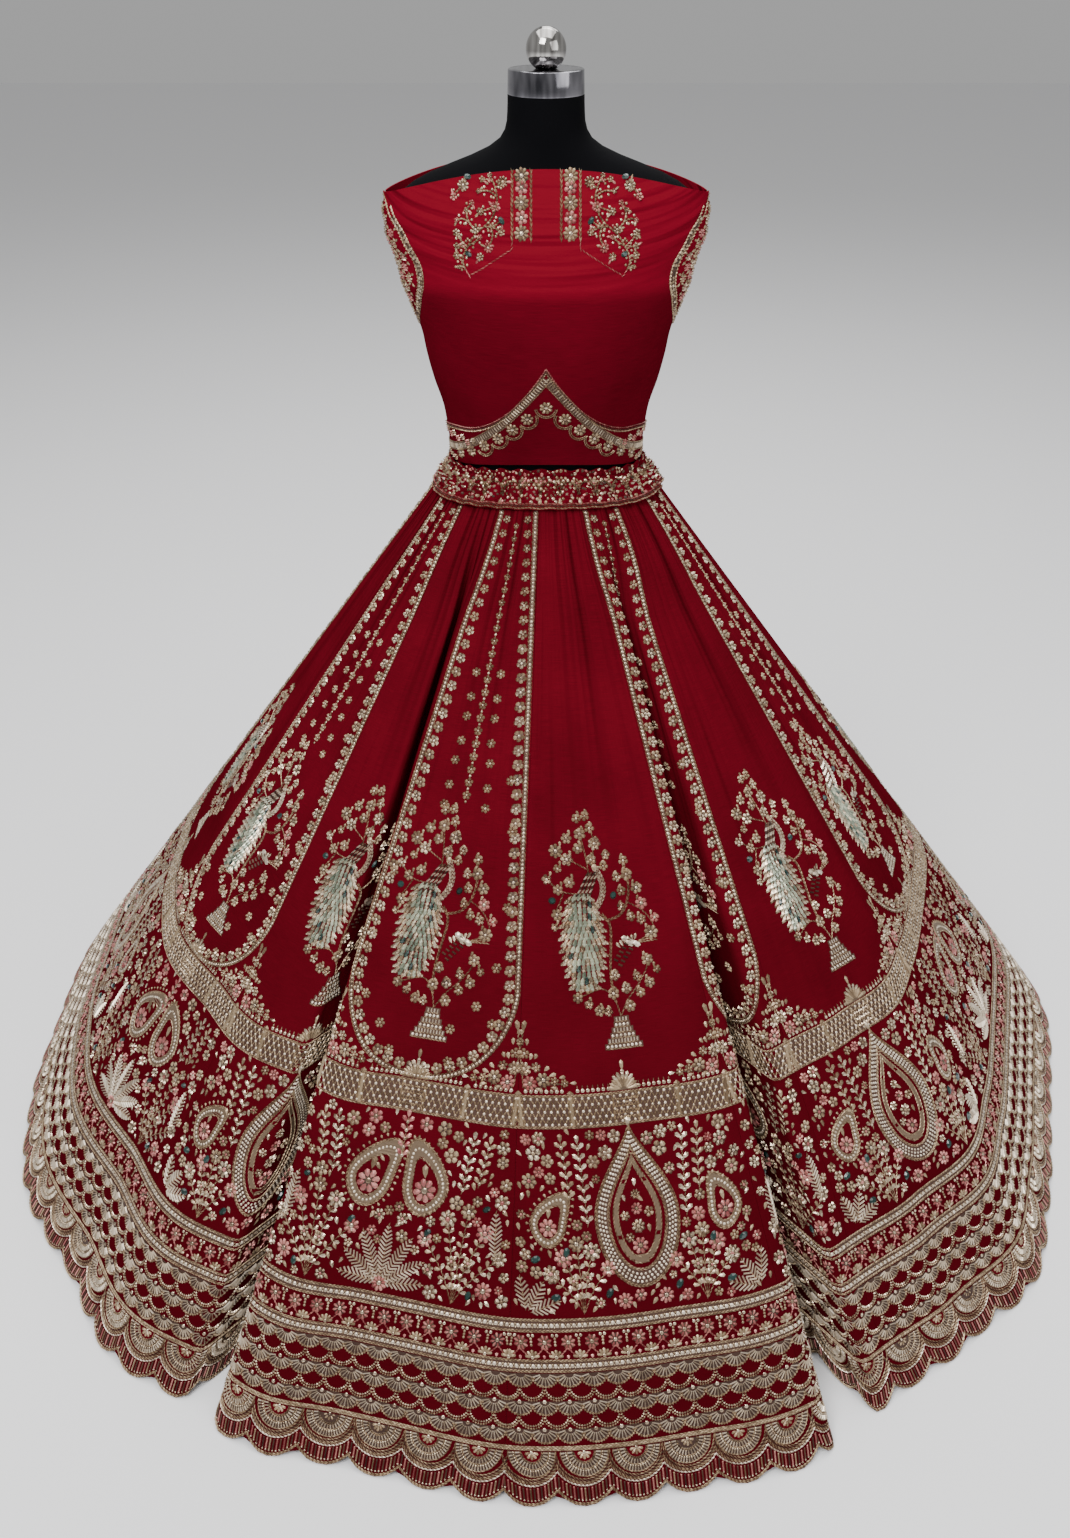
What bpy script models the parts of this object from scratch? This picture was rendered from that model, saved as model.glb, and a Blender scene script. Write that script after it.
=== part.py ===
"""A lehenga choli on a limbless dress form: sixteen flared skirt panels, a gathered
waistband, a wrapped choli in four pieces, and the form with its stand.

Metres, +Z up. The origin is on the floor at the pole's axis. The front faces -Y and
the wearer's left side is +X.
"""

import functools
import math

import bmesh
import bpy
import numpy as np

SEAM_GAP = 0.0003
CLOTH = 0.0020
CHOLI_CLOTH = 0.0016
BUST_CLEARANCE = 0.0034
WAIST_CLEARANCE = 0.0012
FLOOR_CLEARANCE = 0.0012

# Skirt
KALIS = 16
COLUMNS = 12
SCALLOPS = 6
HEM_RADIUS = 0.790
WAIST_SIDE = 0.1150
WAIST_FRONT = 0.0980
WAIST_BACK = 0.0820
TOP_SIDE_Z = 0.926
TOP_FRONT_RISE = 0.014
TOP_BACK_RISE = 0.006
KALI_AT_WAIST = 0.042
KALI_AT_HEM = 0.375
ANCHOR_SEAM = 3
ANCHOR_ANGLE = math.radians(-3.5)
SCALLOP_DEPTH = 0.016
SKIRT_SLANT = 1.15
ROWS = (0.0, 0.045, 0.16, 0.31, 0.47, 0.63, 0.79, 0.92)
HEM_ROW = 0.970
RING_STEPS = 96 * KALIS
NORMAL_STEP_ROUND = 0.020
NORMAL_STEP_DOWN = 0.004

# Deep folds: place in kalis, length of one wall at the hem, its heading in degrees
FOLDS = (
    (1.75, 0.106, 80.0),
    (4.48, 0.158, 81.0),
    (8.55, 0.120, 79.0),
    (10.90, 0.136, 80.0),
    (13.45, 0.122, 79.0),
)
# Soft waves: place in kalis, height at the hem, half width in kalis
WAVES = (
    (0.30, 0.014, 0.50),
    (1.15, 0.020, 0.42),
    (2.15, 0.012, 0.30),
    (2.62, -0.010, 0.45),
    (3.95, 0.012, 0.40),
    (5.05, -0.008, 0.30),
    (5.72, 0.018, 0.36),
    (6.50, -0.016, 0.60),
    (7.25, 0.013, 0.50),
    (8.15, 0.016, 0.40),
    (9.70, -0.012, 0.70),
    (10.45, 0.014, 0.40),
    (12.20, -0.010, 0.70),
    (13.05, 0.015, 0.40),
    (14.55, 0.012, 0.60),
    (15.40, -0.012, 0.50),
)

# Waistband
PLEATS = 32
BAND_END = 0.045
BAND_ROWS = (0.0, 0.020, 0.045)
PLEAT_TOP = 0.0026
PLEAT_BOTTOM = 0.0068

# Choli: height, half width, depth to the front, depth to the back
CHOLI_SECTIONS = (
    (1.275, 0.178, 0.060, 0.050),
    (1.235, 0.178, 0.076, 0.062),
    (1.190, 0.177, 0.093, 0.074),
    (1.169, 0.171, 0.101, 0.079),
    (1.125, 0.158, 0.117, 0.085),
    (1.085, 0.144, 0.125, 0.086),
    (1.062, 0.140, 0.124, 0.085),
    (1.032, 0.133, 0.118, 0.083),
    (0.999, 0.123, 0.108, 0.081),
    (0.972, 0.119, 0.102, 0.081),
    (0.930, 0.115, 0.098, 0.082),
)
# Form above the choli's shoulder line and below its hem, in the same columns
FORM_TOP = (
    (1.3300, 0.0400, 0.0400, 0.0400),
    (1.3120, 0.0405, 0.0400, 0.0410),
    (1.2950, 0.0440, 0.0410, 0.0425),
    (1.2820, 0.0560, 0.0425, 0.0430),
    (1.2710, 0.0790, 0.0450, 0.0430),
    (1.2600, 0.1090, 0.0490, 0.0440),
    (1.2480, 0.1380, 0.0560, 0.0480),
    (1.2340, 0.1590, 0.0660, 0.0550),
    (1.2150, 0.1710, 0.0770, 0.0640),
)
FORM_BOTTOM = (
    (0.916, 0.1118, 0.095, 0.0790),
    (0.890, 0.1225, 0.105, 0.0905),
    (0.850, 0.1400, 0.118, 0.106),
    (0.800, 0.1490, 0.127, 0.118),
    (0.755, 0.1510, 0.130, 0.122),
    (0.730, 0.1480, 0.127, 0.119),
    (0.718, 0.1380, 0.117, 0.110),
)
WAIST_STARTS = 1.010
SHOULDER_Z = 1.235
UNDERARM_Z = 1.090
NECK_RISE = 0.032
CHOLI_HEM_SIDE_Z = 0.9345
CHOLI_HEM_RISE = 0.021
ARMHOLE_DEEPEST = math.radians(31.0)
CHOLI_COLUMNS = 18
ARMHOLE_ROWS = 7
BODICE_ROWS = 6
SIDE_COLUMNS = 6
SIDE_TIP = 0.35
# Drape folds across the chest: height at the middle, sag at the shoulder, depth
CHEST_FOLDS = (
    (1.232, 0.012, 0.0022),
    (1.206, 0.018, 0.0030),
    (1.178, 0.024, 0.0022),
    (1.128, 0.020, 0.0016),
)
CHEST_FOLD_HALF = 0.011

# Neck cap, knob and stand
FORM_COLUMNS = 36
CAP_RADIUS = 0.0404
CAP_TOP_RADIUS = 0.0370
CAP_HEIGHT = 0.0225
BALL_RADIUS = 0.0200
BALL_STEM = 0.0070
POLE_RADIUS = 0.0160
BASE_RADIUS = 0.170
BASE_HEIGHT = 0.012

CRIMSON = (0.27, 0.004, 0.012)
EMBROIDERY = (0.42, 0.26, 0.15)
JERSEY = (0.006, 0.006, 0.007)
CHROME = (0.75, 0.75, 0.77)


def clear_scene():
    for old in list(bpy.data.objects):
        bpy.data.objects.remove(old, do_unlink=True)


def material(name, colour, roughness, metallic=0.0):
    made = bpy.data.materials.new(name)
    made.use_nodes = True
    shader = made.node_tree.nodes["Principled BSDF"]
    shader.inputs["Base Color"].default_value = (*colour, 1.0)
    shader.inputs["Roughness"].default_value = roughness
    shader.inputs["Metallic"].default_value = metallic
    return made


def smooth_step(x):
    x = np.clip(x, 0.0, 1.0)
    return x * x * (3.0 - 2.0 * x)


def column(table, heights, place):
    """One column of a section table, read at the given heights by a smooth curve."""
    rows = np.array(sorted(table))
    z, value = rows[:, 0], rows[:, place]
    slope = np.gradient(value, z)
    heights = np.clip(heights, z[0], z[-1])
    i = np.clip(np.searchsorted(z, heights) - 1, 0, len(z) - 2)
    step = z[i + 1] - z[i]
    t = (heights - z[i]) / step
    return (
        (2 * t**3 - 3 * t**2 + 1) * value[i]
        + (t**3 - 2 * t**2 + t) * step * slope[i]
        + (3 * t**2 - 2 * t**3) * value[i + 1]
        + (t**3 - t**2) * step * slope[i + 1]
    )


def plateau(x):
    """1 over most of the length -0.5 to 0.5, with smooth shoulders."""
    edge = 0.16
    return smooth_step((x + 0.5) / edge + 0.5) * smooth_step((0.5 - x) / edge + 0.5)


def waist_radius(angle):
    """The oval that the skirt's top edge follows, from the pole's axis."""
    depth = np.where(np.cos(angle) > 0, WAIST_FRONT, WAIST_BACK)
    return 1.0 / np.sqrt((np.sin(angle) / WAIST_SIDE) ** 2 + (np.cos(angle) / depth) ** 2)


def top_height(angle):
    toward_front = np.cos(angle)
    rise = np.where(toward_front > 0, TOP_FRONT_RISE, TOP_BACK_RISE)
    return TOP_SIDE_Z + rise * toward_front**2


@functools.lru_cache(maxsize=None)
def skirt_ring(v):
    """Places in kalis, angle and radius of the cloth round the ring at v down the slant.

    The cloth keeps its length: in a deep fold it heads inwards and back out, and so
    gains little angle there. The panel's width is solved so that the ring closes.
    """
    u = np.arange(RING_STEPS + 1) * KALIS / RING_STEPS
    du = u[1] - u[0]
    angle = ANCHOR_ANGLE + (u - ANCHOR_SEAM) * 2 * math.pi / KALIS
    waves = np.zeros_like(u)
    for place, height, half in WAVES:
        away = (u - place + KALIS / 2) % KALIS - KALIS / 2
        waves += v**1.4 * height * 0.5 * (1 + np.cos(math.pi * np.clip(away / half, -1, 1)))
    width = (1 - v) * KALI_AT_WAIST + v * KALI_AT_HEM
    for _ in range(16):
        heading = np.zeros_like(u)
        for place, wall, degrees in FOLDS:
            length = wall * v
            if length <= 0:
                continue
            away = ((u - place + KALIS / 2) % KALIS - KALIS / 2) * width
            turn = math.radians(degrees) * smooth_step(v / 0.16)
            heading += turn * (plateau(away / length - 0.5) - plateau(away / length + 0.5))
        sunk = np.sin(heading) * width * du
        depth = np.concatenate([[0], np.cumsum(0.5 * (sunk[1:] + sunk[:-1]))])
        depth -= depth[-1] * u / KALIS
        radius = (1 - v) * waist_radius(angle) + v * HEM_RADIUS + waves + depth
        gain = np.cos(heading) * width / radius
        angle = np.concatenate([[0], np.cumsum(0.5 * (gain[1:] + gain[:-1]) * du)])
        width *= 1 + 0.8 * (2 * math.pi / angle[-1] - 1)
        angle *= 2 * math.pi / angle[-1]
        angle += ANCHOR_ANGLE - np.interp(ANCHOR_SEAM, u, angle)
    return u, angle, radius, width


def skirt_points(u, v):
    """Points of the skirt's outer face. u runs round in kalis, v down the slant."""
    places, angles, radii, width = skirt_ring(v)
    laps = np.floor(u / KALIS)
    inside = u - laps * KALIS
    angle = np.interp(inside, places, angles) + laps * 2 * math.pi
    radius = np.interp(inside, places, radii)
    height = (1 - v) * top_height(angle) + v * FLOOR_CLEARANCE
    return np.stack([radius * np.sin(angle), -radius * np.cos(angle), height], axis=-1), width


def skirt_normals(u, v):
    """Outward normals of the skirt, from the surface's slopes both ways."""
    across = skirt_points(u + NORMAL_STEP_ROUND, v)[0] - skirt_points(u - NORMAL_STEP_ROUND, v)[0]
    down = skirt_points(u, v + NORMAL_STEP_DOWN)[0] - skirt_points(u, v - NORMAL_STEP_DOWN)[0]
    normal = np.cross(down, across)
    return normal / np.linalg.norm(normal, axis=-1, keepdims=True)


def scallop_edge(fraction):
    """How far down the slant the hem reaches, at a fraction of the way across a kali."""
    along = (fraction * SCALLOPS) % 1.0
    rise = np.abs(2 * along - 1) ** 2.2
    return 1.0 - rise * SCALLOP_DEPTH / SKIRT_SLANT


def shell(name, outer, inner, closed=False):
    """A wall between two faces, each a list of rows of points from the top down.

    A row may have twice the cells of the row above it. A closed shell runs all round.
    """
    mesh = bpy.data.meshes.new(name)
    made = bmesh.new()
    faces = [[[made.verts.new(p) for p in row] for row in side] for side in (outer, inner)]
    for rows in faces:
        for upper, lower in zip(rows, rows[1:]):
            each = (len(lower) - (not closed)) // (len(upper) - (not closed))
            for i in range(len(upper) - (not closed)):
                right = (i + 1) % len(upper)
                below = [lower[(i * each + k) % len(lower)] for k in range(each + 1)]
                made.faces.new([upper[i], *below, upper[right]])
    for near, far in ((faces[0][0], faces[1][0]), (faces[0][-1], faces[1][-1])):
        for i in range(len(near) - (not closed)):
            right = (i + 1) % len(near)
            made.faces.new([near[i], near[right], far[right], far[i]])
    if not closed:
        for end in (0, -1):
            for k in range(len(faces[0]) - 1):
                a, b = faces[0][k][end], faces[0][k + 1][end]
                made.faces.new([a, b, faces[1][k + 1][end], faces[1][k][end]])
    bmesh.ops.recalc_face_normals(made, faces=made.faces)
    bmesh.ops.triangulate(made, faces=[f for f in made.faces if len(f.verts) > 4])
    made.to_mesh(mesh)
    made.free()
    mesh.shade_smooth()
    mesh.set_sharp_from_angle(angle=math.radians(50))
    return bpy.data.objects.new(name, mesh)


def kali(number, colour):
    """One flared skirt panel with its scalloped hem."""
    outer, inner = [], []
    levels = [(v, COLUMNS) for v in ROWS] + [(HEM_ROW, 2 * COLUMNS), (1.0, 4 * SCALLOPS)]
    for v, cells in levels:
        fraction = np.arange(cells + 1) / cells
        if v == 1.0:
            points, normals = [], []
            for f in fraction:
                edge = float(scallop_edge(f))
                place = np.array([seam_place(number, f, edge)])
                points.append(skirt_points(place, edge)[0][0])
                normals.append(skirt_normals(place, edge - NORMAL_STEP_DOWN)[0])
            points, normals = np.array(points), np.array(normals)
        else:
            place = np.array([seam_place(number, f, v) for f in fraction])
            points = skirt_points(place, v)[0]
            normals = skirt_normals(place, max(v, NORMAL_STEP_DOWN))
        outer.append(points)
        inner.append(points - CLOTH * normals)
    made = shell(f"kali_{number + 1:02d}", outer, inner)
    made.data.materials.append(colour)
    return made


def seam_place(number, fraction, v):
    """Where a fraction of the panel's width lies, half a seam gap in from its edges."""
    width = (1 - v) * KALI_AT_WAIST + v * KALI_AT_HEM
    margin = 0.5 * SEAM_GAP / width
    return number + margin + fraction * (1 - 2 * margin)


def waistband(colour):
    """The gathered band: it lies on the panels' top ends and flares into pleats."""
    count = KALIS * COLUMNS
    u = np.arange(count) / COLUMNS
    wave = 0.5 - 0.5 * np.cos(2 * math.pi * u * PLEATS / KALIS)
    inner, outer = [], []
    for v in BAND_ROWS:
        points = skirt_points(u, v)[0]
        normals = skirt_normals(u, max(v, NORMAL_STEP_DOWN))
        share = v / BAND_END
        lift = SEAM_GAP + 0.0002 + wave * ((1 - share) * PLEAT_TOP + share * PLEAT_BOTTOM)
        inner.append(points + lift[:, None] * normals)
        outer.append(points + (lift + CLOTH)[:, None] * normals)
    made = shell("waistband", outer, inner, closed=True)
    made.data.materials.append(colour)
    return made


def choli_point(turn, height, inset=0.0):
    """A point of the choli's outer face. turn is 0 at the front middle, pi at the back."""
    half = column(CHOLI_SECTIONS, height, 1) - inset
    front = np.cos(turn) > 0
    depth = np.where(front, column(CHOLI_SECTIONS, height, 2), column(CHOLI_SECTIONS, height, 3))
    return np.stack(
        [half * np.sin(turn), -(depth - inset) * np.cos(turn), height + 0 * turn], axis=-1
    )


def edge_height(k):
    """Height of a panel's row k at its side edge. The row of the underarm is ARMHOLE_ROWS."""
    tip = SHOULDER_Z - 0.001
    if k <= ARMHOLE_ROWS:
        return tip + (UNDERARM_Z - tip) * k / ARMHOLE_ROWS
    return UNDERARM_Z + (CHOLI_HEM_SIDE_Z - UNDERARM_Z) * (k - ARMHOLE_ROWS) / BODICE_ROWS


def armhole_turn(height):
    """How far round from the front middle the armhole border lies at this height."""
    along = (SHOULDER_Z - height) / (SHOULDER_Z - UNDERARM_Z)
    bow = np.sin(math.pi * np.clip(along, 0, 1)) ** 0.8
    return math.pi / 2 - ARMHOLE_DEEPEST * bow


def chest_folds(turn, height):
    """Height of the soft drape folds that run from shoulder to shoulder."""
    raised = 0.0
    for middle, sag, depth in CHEST_FOLDS:
        line = middle - sag * (1 - np.abs(np.sin(turn))) + 0.5 * sag
        raised = raised + depth * np.exp(-(((height - line) / CHEST_FOLD_HALF) ** 2))
    return raised * np.abs(np.sin(turn)) ** 0.6


def choli_panel(name, colour, back):
    """The front or back: from its raised neck edge, past the armholes, to the hem."""
    outer, inner = [], []
    spread = np.linspace(-1, 1, CHOLI_COLUMNS + 1)
    first = spread * math.pi / 2
    for k in range(ARMHOLE_ROWS + BODICE_ROWS + 1):
        down = (edge_height(0) - edge_height(k)) / (edge_height(0) - CHOLI_HEM_SIDE_Z)
        top = SHOULDER_Z - 0.001 + NECK_RISE * np.cos(first) ** 2
        bottom = CHOLI_HEM_SIDE_Z + CHOLI_HEM_RISE * np.cos(first) ** 2 * (0.5 if back else 1)
        height = top + (bottom - top) * down
        turn = spread * armhole_turn(height)
        half = column(CHOLI_SECTIONS, height, 1)
        turn = turn - np.sign(spread) * (np.abs(spread) == 1) * 0.5 * SEAM_GAP / half
        if back:
            turn = math.pi - turn
        out = choli_point(turn, height)
        flat = out * np.array([1.0, 1.0, 0.0])
        away = flat / np.linalg.norm(flat, axis=-1, keepdims=True)
        raised = 0 * height if back else chest_folds(turn, height)
        outer.append(out + raised[:, None] * away)
        inner.append(choli_point(turn, height, CHOLI_CLOTH))
    made = shell(name, outer, inner)
    made.data.materials.append(colour)
    return made


def choli_side(name, colour, side):
    """The embroidered piece that fills one armhole, from shoulder tip to underarm."""
    outer, inner = [], []
    tips = [SIDE_TIP, *range(1, ARMHOLE_ROWS), ARMHOLE_ROWS - SIDE_TIP]
    for row in tips:
        low = int(row)
        share = row - low
        height = (1 - share) * edge_height(low) + share * edge_height(low + 1)
        edge = (1 - share) * float(armhole_turn(edge_height(low)))
        edge += share * float(armhole_turn(edge_height(low + 1)))
        edge += 2 * SEAM_GAP / float(column(CHOLI_SECTIONS, height, 1))
        turn = side * np.linspace(edge, math.pi - edge, SIDE_COLUMNS + 1)
        heights = np.full_like(turn, height)
        outer.append(choli_point(turn, heights))
        inner.append(choli_point(turn, heights, CHOLI_CLOTH))
    made = shell(name, outer, inner)
    made.data.materials.append(colour)
    return made


def torso(colour):
    """The form's solid body, lofted through its sections from the neck down."""
    table = list(FORM_TOP)
    for z, half, front, back in CHOLI_SECTIONS:
        if z < FORM_TOP[-1][0]:
            clearance = BUST_CLEARANCE if z > WAIST_STARTS else WAIST_CLEARANCE
            inset = CHOLI_CLOTH + clearance
            table.append((z, half - inset, front - inset, back - inset))
    table += list(FORM_BOTTOM)
    heights = [1.330, 1.310, 1.292, 1.280, 1.270, 1.260, 1.248, 1.234]
    heights += [1.213, 1.190, 1.168, 1.146, 1.125, 1.105, 1.090, 1.070, 1.045, 1.010]
    heights += [0.972, 0.936, 0.916, 0.890, 0.840, 0.780, 0.735, 0.718]
    mesh = bpy.data.meshes.new("form_torso")
    made = bmesh.new()
    turn = np.arange(FORM_COLUMNS) * 2 * math.pi / FORM_COLUMNS
    rings = []
    for z in heights:
        half, front, back = (float(column(table, z, place)) for place in (1, 2, 3))
        depth = np.where(np.cos(turn) > 0, front, back)
        ring = [
            made.verts.new((half * math.sin(t), -d * math.cos(t), z))
            for t, d in zip(turn, depth)
        ]
        rings.append(ring)
    for upper, lower in zip(rings, rings[1:]):
        for i in range(FORM_COLUMNS):
            right = (i + 1) % FORM_COLUMNS
            made.faces.new([upper[i], lower[i], lower[right], upper[right]])
    made.faces.new(rings[0])
    made.faces.new(rings[-1])
    bmesh.ops.recalc_face_normals(made, faces=made.faces)
    made.to_mesh(mesh)
    made.free()
    mesh.shade_smooth()
    mesh.set_sharp_from_angle(angle=math.radians(50))
    body = bpy.data.objects.new("form_torso", mesh)
    body.data.materials.append(colour)
    return body


def turned(name, profile, colour, steps):
    """A solid of revolution about Z, from (radius, height) points, top to bottom."""
    mesh = bpy.data.meshes.new(name)
    mesh.from_pydata([(r, 0, z) for r, z in profile], [(i, i + 1) for i in range(len(profile) - 1)], [])
    made = bpy.data.objects.new(name, mesh)
    made.data.materials.append(colour)
    screw = made.modifiers.new("Turn", "SCREW")
    screw.steps = steps
    screw.render_steps = steps
    screw.use_merge_vertices = True
    screw.merge_threshold = 0.00005
    return made


def fittings(jersey, chrome):
    """The chrome neck cap with its ball, and the plain pole and base."""
    neck_top = FORM_TOP[0][0]
    low = neck_top + SEAM_GAP
    high = low + CAP_HEIGHT
    cap = turned(
        "neck_cap",
        [
            (0, high),
            (CAP_TOP_RADIUS - 0.002, high),
            (CAP_TOP_RADIUS, high - 0.0015),
            (CAP_RADIUS, low + 0.002),
            (CAP_RADIUS, low),
            (0, low),
        ],
        chrome,
        36,
    )
    stem = high + SEAM_GAP
    centre = stem + BALL_STEM + BALL_RADIUS * math.cos(math.asin(0.3))
    profile = [(0, centre + BALL_RADIUS)]
    first, last, bands = math.pi / 2, -math.pi / 2 + math.asin(0.3), 10
    for k in range(1, bands + 1):
        tilt = first + (last - first) * k / bands
        profile.append((BALL_RADIUS * math.cos(tilt), centre + BALL_RADIUS * math.sin(tilt)))
    profile += [(BALL_RADIUS * 0.3, stem), (0, stem)]
    ball = turned("neck_ball", profile, chrome, 24)
    torso_bottom = FORM_BOTTOM[-1][0]
    pole_low = BASE_HEIGHT + SEAM_GAP
    pole_high = torso_bottom - SEAM_GAP
    bpy.ops.mesh.primitive_cylinder_add(
        vertices=24, radius=POLE_RADIUS, depth=pole_high - pole_low,
        location=(0, 0, (pole_low + pole_high) / 2),
    )
    pole = bpy.context.object
    pole.name = "stand_pole"
    pole.data.materials.append(chrome)
    bpy.ops.mesh.primitive_cylinder_add(
        vertices=40, radius=BASE_RADIUS, depth=BASE_HEIGHT, location=(0, 0, BASE_HEIGHT / 2)
    )
    base = bpy.context.object
    base.name = "stand_base"
    base.data.materials.append(jersey)
    rim = base.modifiers.new("Rim", "BEVEL")
    rim.width = 0.003
    rim.segments = 1
    rim.limit_method = "ANGLE"
    return [cap, ball, pole, base]


def build():
    clear_scene()
    kept = bpy.data.collections.new("Lehenga choli on a dress form")
    bpy.context.scene.collection.children.link(kept)
    crimson = material("Crimson raw silk", CRIMSON, 0.55)
    worked = material("Zari and sequin work", EMBROIDERY, 0.45, 0.3)
    jersey = material("Black jersey", JERSEY, 0.85)
    chrome = material("Chrome", CHROME, 0.12, 1.0)
    pieces = [kali(number, crimson) for number in range(KALIS)]
    pieces.append(waistband(worked))
    pieces.append(choli_panel("choli_front", crimson, back=False))
    pieces.append(choli_panel("choli_back", crimson, back=True))
    pieces.append(choli_side("choli_side_left", worked, 1))
    pieces.append(choli_side("choli_side_right", worked, -1))
    pieces.append(torso(jersey))
    pieces += fittings(jersey, chrome)
    for piece in pieces:
        for other in list(piece.users_collection):
            other.objects.unlink(piece)
        kept.objects.link(piece)


build()
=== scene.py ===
"""The looks of a crimson bridal lehenga choli on a limbless dress form."""

import math

import bpy
import numpy as np
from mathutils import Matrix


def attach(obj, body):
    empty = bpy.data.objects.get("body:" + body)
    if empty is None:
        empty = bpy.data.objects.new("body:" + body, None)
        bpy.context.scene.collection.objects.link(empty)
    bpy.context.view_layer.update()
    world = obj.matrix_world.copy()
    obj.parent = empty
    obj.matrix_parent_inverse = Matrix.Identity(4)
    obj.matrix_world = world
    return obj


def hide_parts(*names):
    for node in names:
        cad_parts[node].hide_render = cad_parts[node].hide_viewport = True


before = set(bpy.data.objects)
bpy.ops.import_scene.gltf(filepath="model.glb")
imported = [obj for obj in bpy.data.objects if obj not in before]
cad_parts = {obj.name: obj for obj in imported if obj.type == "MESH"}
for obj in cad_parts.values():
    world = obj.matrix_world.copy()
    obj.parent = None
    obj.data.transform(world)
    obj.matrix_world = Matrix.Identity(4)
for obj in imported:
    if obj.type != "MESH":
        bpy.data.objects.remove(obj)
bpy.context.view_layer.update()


# The skirt is sixteen flared panels of crimson raw silk, cut in one shape and sewn side
# by side. It stands out on its stiff lining and falls into a few deep folds. Each panel
# ends in six scallops, faced and turned inside.
KALIS = 16
SLANT = 1.15
CLOTH = 0.0020
SEAM_GAP = 0.0003
HEM_RADIUS = 0.790
WAIST_SIDE = 0.1150
WAIST_FRONT = 0.0980
WAIST_BACK = 0.0820
TOP_SIDE_Z = 0.926
TOP_FRONT_RISE = 0.014
TOP_BACK_RISE = 0.006
KALI_AT_WAIST = 0.042
KALI_AT_HEM = 0.375
ANCHOR_SEAM = 3
ANCHOR_ANGLE = math.radians(-3.5)
FLOOR_CLEARANCE = 0.0012
SCALLOPS = 6
SCALLOP_DEPTH = 0.016
RING_STEPS = 96
CELLS = 32
DEEP_FOLDS = ((1.75, 0.106, 80), (4.48, 0.158, 81), (8.55, 0.120, 79), (10.90, 0.136, 80), (13.45, 0.122, 79))
SOFT_WAVES = (
    (0.30, 0.014, 0.50), (1.15, 0.020, 0.42), (2.15, 0.012, 0.30), (2.62, -0.010, 0.45),
    (3.95, 0.012, 0.40), (5.05, -0.008, 0.30), (5.72, 0.018, 0.36), (6.50, -0.016, 0.60),
    (7.25, 0.013, 0.50), (8.15, 0.016, 0.40), (9.70, -0.012, 0.70), (10.45, 0.014, 0.40),
    (12.20, -0.010, 0.70), (13.05, 0.015, 0.40), (14.55, 0.012, 0.60), (15.40, -0.012, 0.50),
)


def smooth_step(x):
    x = np.clip(x, 0.0, 1.0)
    return x * x * (3.0 - 2.0 * x)


def plateau(x):
    return smooth_step((x + 0.5) / 0.16 + 0.5) * smooth_step((0.5 - x) / 0.16 + 0.5)


def running_sum(values):
    return np.concatenate([[0], np.cumsum(0.5 * (values[1:] + values[:-1]))])


def skirt_ring(v):
    """Points of the cloth round the ring at v down the slant, a few to each panel."""
    u = np.arange(RING_STEPS * KALIS + 1) / RING_STEPS
    angle = ANCHOR_ANGLE + (u - ANCHOR_SEAM) * 2 * math.pi / KALIS
    waves = np.zeros_like(u)
    for place, height, half in SOFT_WAVES:
        away = (u - place + KALIS / 2) % KALIS - KALIS / 2
        waves += v**1.4 * height * 0.5 * (1 + np.cos(math.pi * np.clip(away / half, -1, 1)))
    width = (1 - v) * KALI_AT_WAIST + v * KALI_AT_HEM
    for _ in range(16):
        heading = np.zeros_like(u)
        for place, wall, degrees in DEEP_FOLDS:
            if v > 0:
                away = ((u - place + KALIS / 2) % KALIS - KALIS / 2) * width / (wall * v)
                turn = math.radians(degrees) * smooth_step(v / 0.16)
                heading += turn * (plateau(away - 0.5) - plateau(away + 0.5))
        depth = running_sum(np.sin(heading) * width / RING_STEPS)
        depth -= depth[-1] * u / KALIS
        waist = np.where(np.cos(angle) > 0, WAIST_FRONT, WAIST_BACK)
        oval = 1 / np.sqrt((np.sin(angle) / WAIST_SIDE) ** 2 + (np.cos(angle) / waist) ** 2)
        radius = (1 - v) * oval + v * HEM_RADIUS + waves + depth
        angle = running_sum(np.cos(heading) * width / radius / RING_STEPS)
        width *= 1 + 0.8 * (2 * math.pi / angle[-1] - 1)
        angle *= 2 * math.pi / angle[-1]
        angle += ANCHOR_ANGLE - np.interp(ANCHOR_SEAM, u, angle)
    toward_front = np.cos(angle)
    rise = np.where(toward_front > 0, TOP_FRONT_RISE, TOP_BACK_RISE)
    height = (1 - v) * (TOP_SIDE_Z + rise * toward_front**2) + v * FLOOR_CLEARANCE
    points = np.stack([radius * np.sin(angle), -radius * np.cos(angle), height], axis=-1)
    return points[:: RING_STEPS // CELLS]


rows_down = np.linspace(0, 1, 37) ** 1.15
skirt_grid = np.array([skirt_ring(v) for v in rows_down])
around = skirt_grid[:, :-1]
grid_across = np.roll(around, -1, axis=1) - np.roll(around, 1, axis=1)
grid_normals = np.cross(np.gradient(around, axis=0), grid_across)
grid_normals /= np.linalg.norm(grid_normals, axis=-1, keepdims=True)
grid_normals = np.concatenate([grid_normals, grid_normals[:, :1]], axis=1)


def read_grid(grid, u, v):
    """A value of the skirt's grid at u panels round and v down the slant."""
    column = (np.asarray(u, float) % KALIS) * CELLS
    row = np.interp(v, rows_down, np.arange(len(rows_down)))
    j = np.minimum(column.astype(int), CELLS * KALIS - 1)
    k = np.minimum(row.astype(int), len(rows_down) - 2)
    right, below = (column - j)[..., None], (row - k)[..., None]
    upper = (1 - right) * grid[k, j] + right * grid[k, j + 1]
    lower = (1 - right) * grid[k + 1, j] + right * grid[k + 1, j + 1]
    return (1 - below) * upper + below * lower


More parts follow.
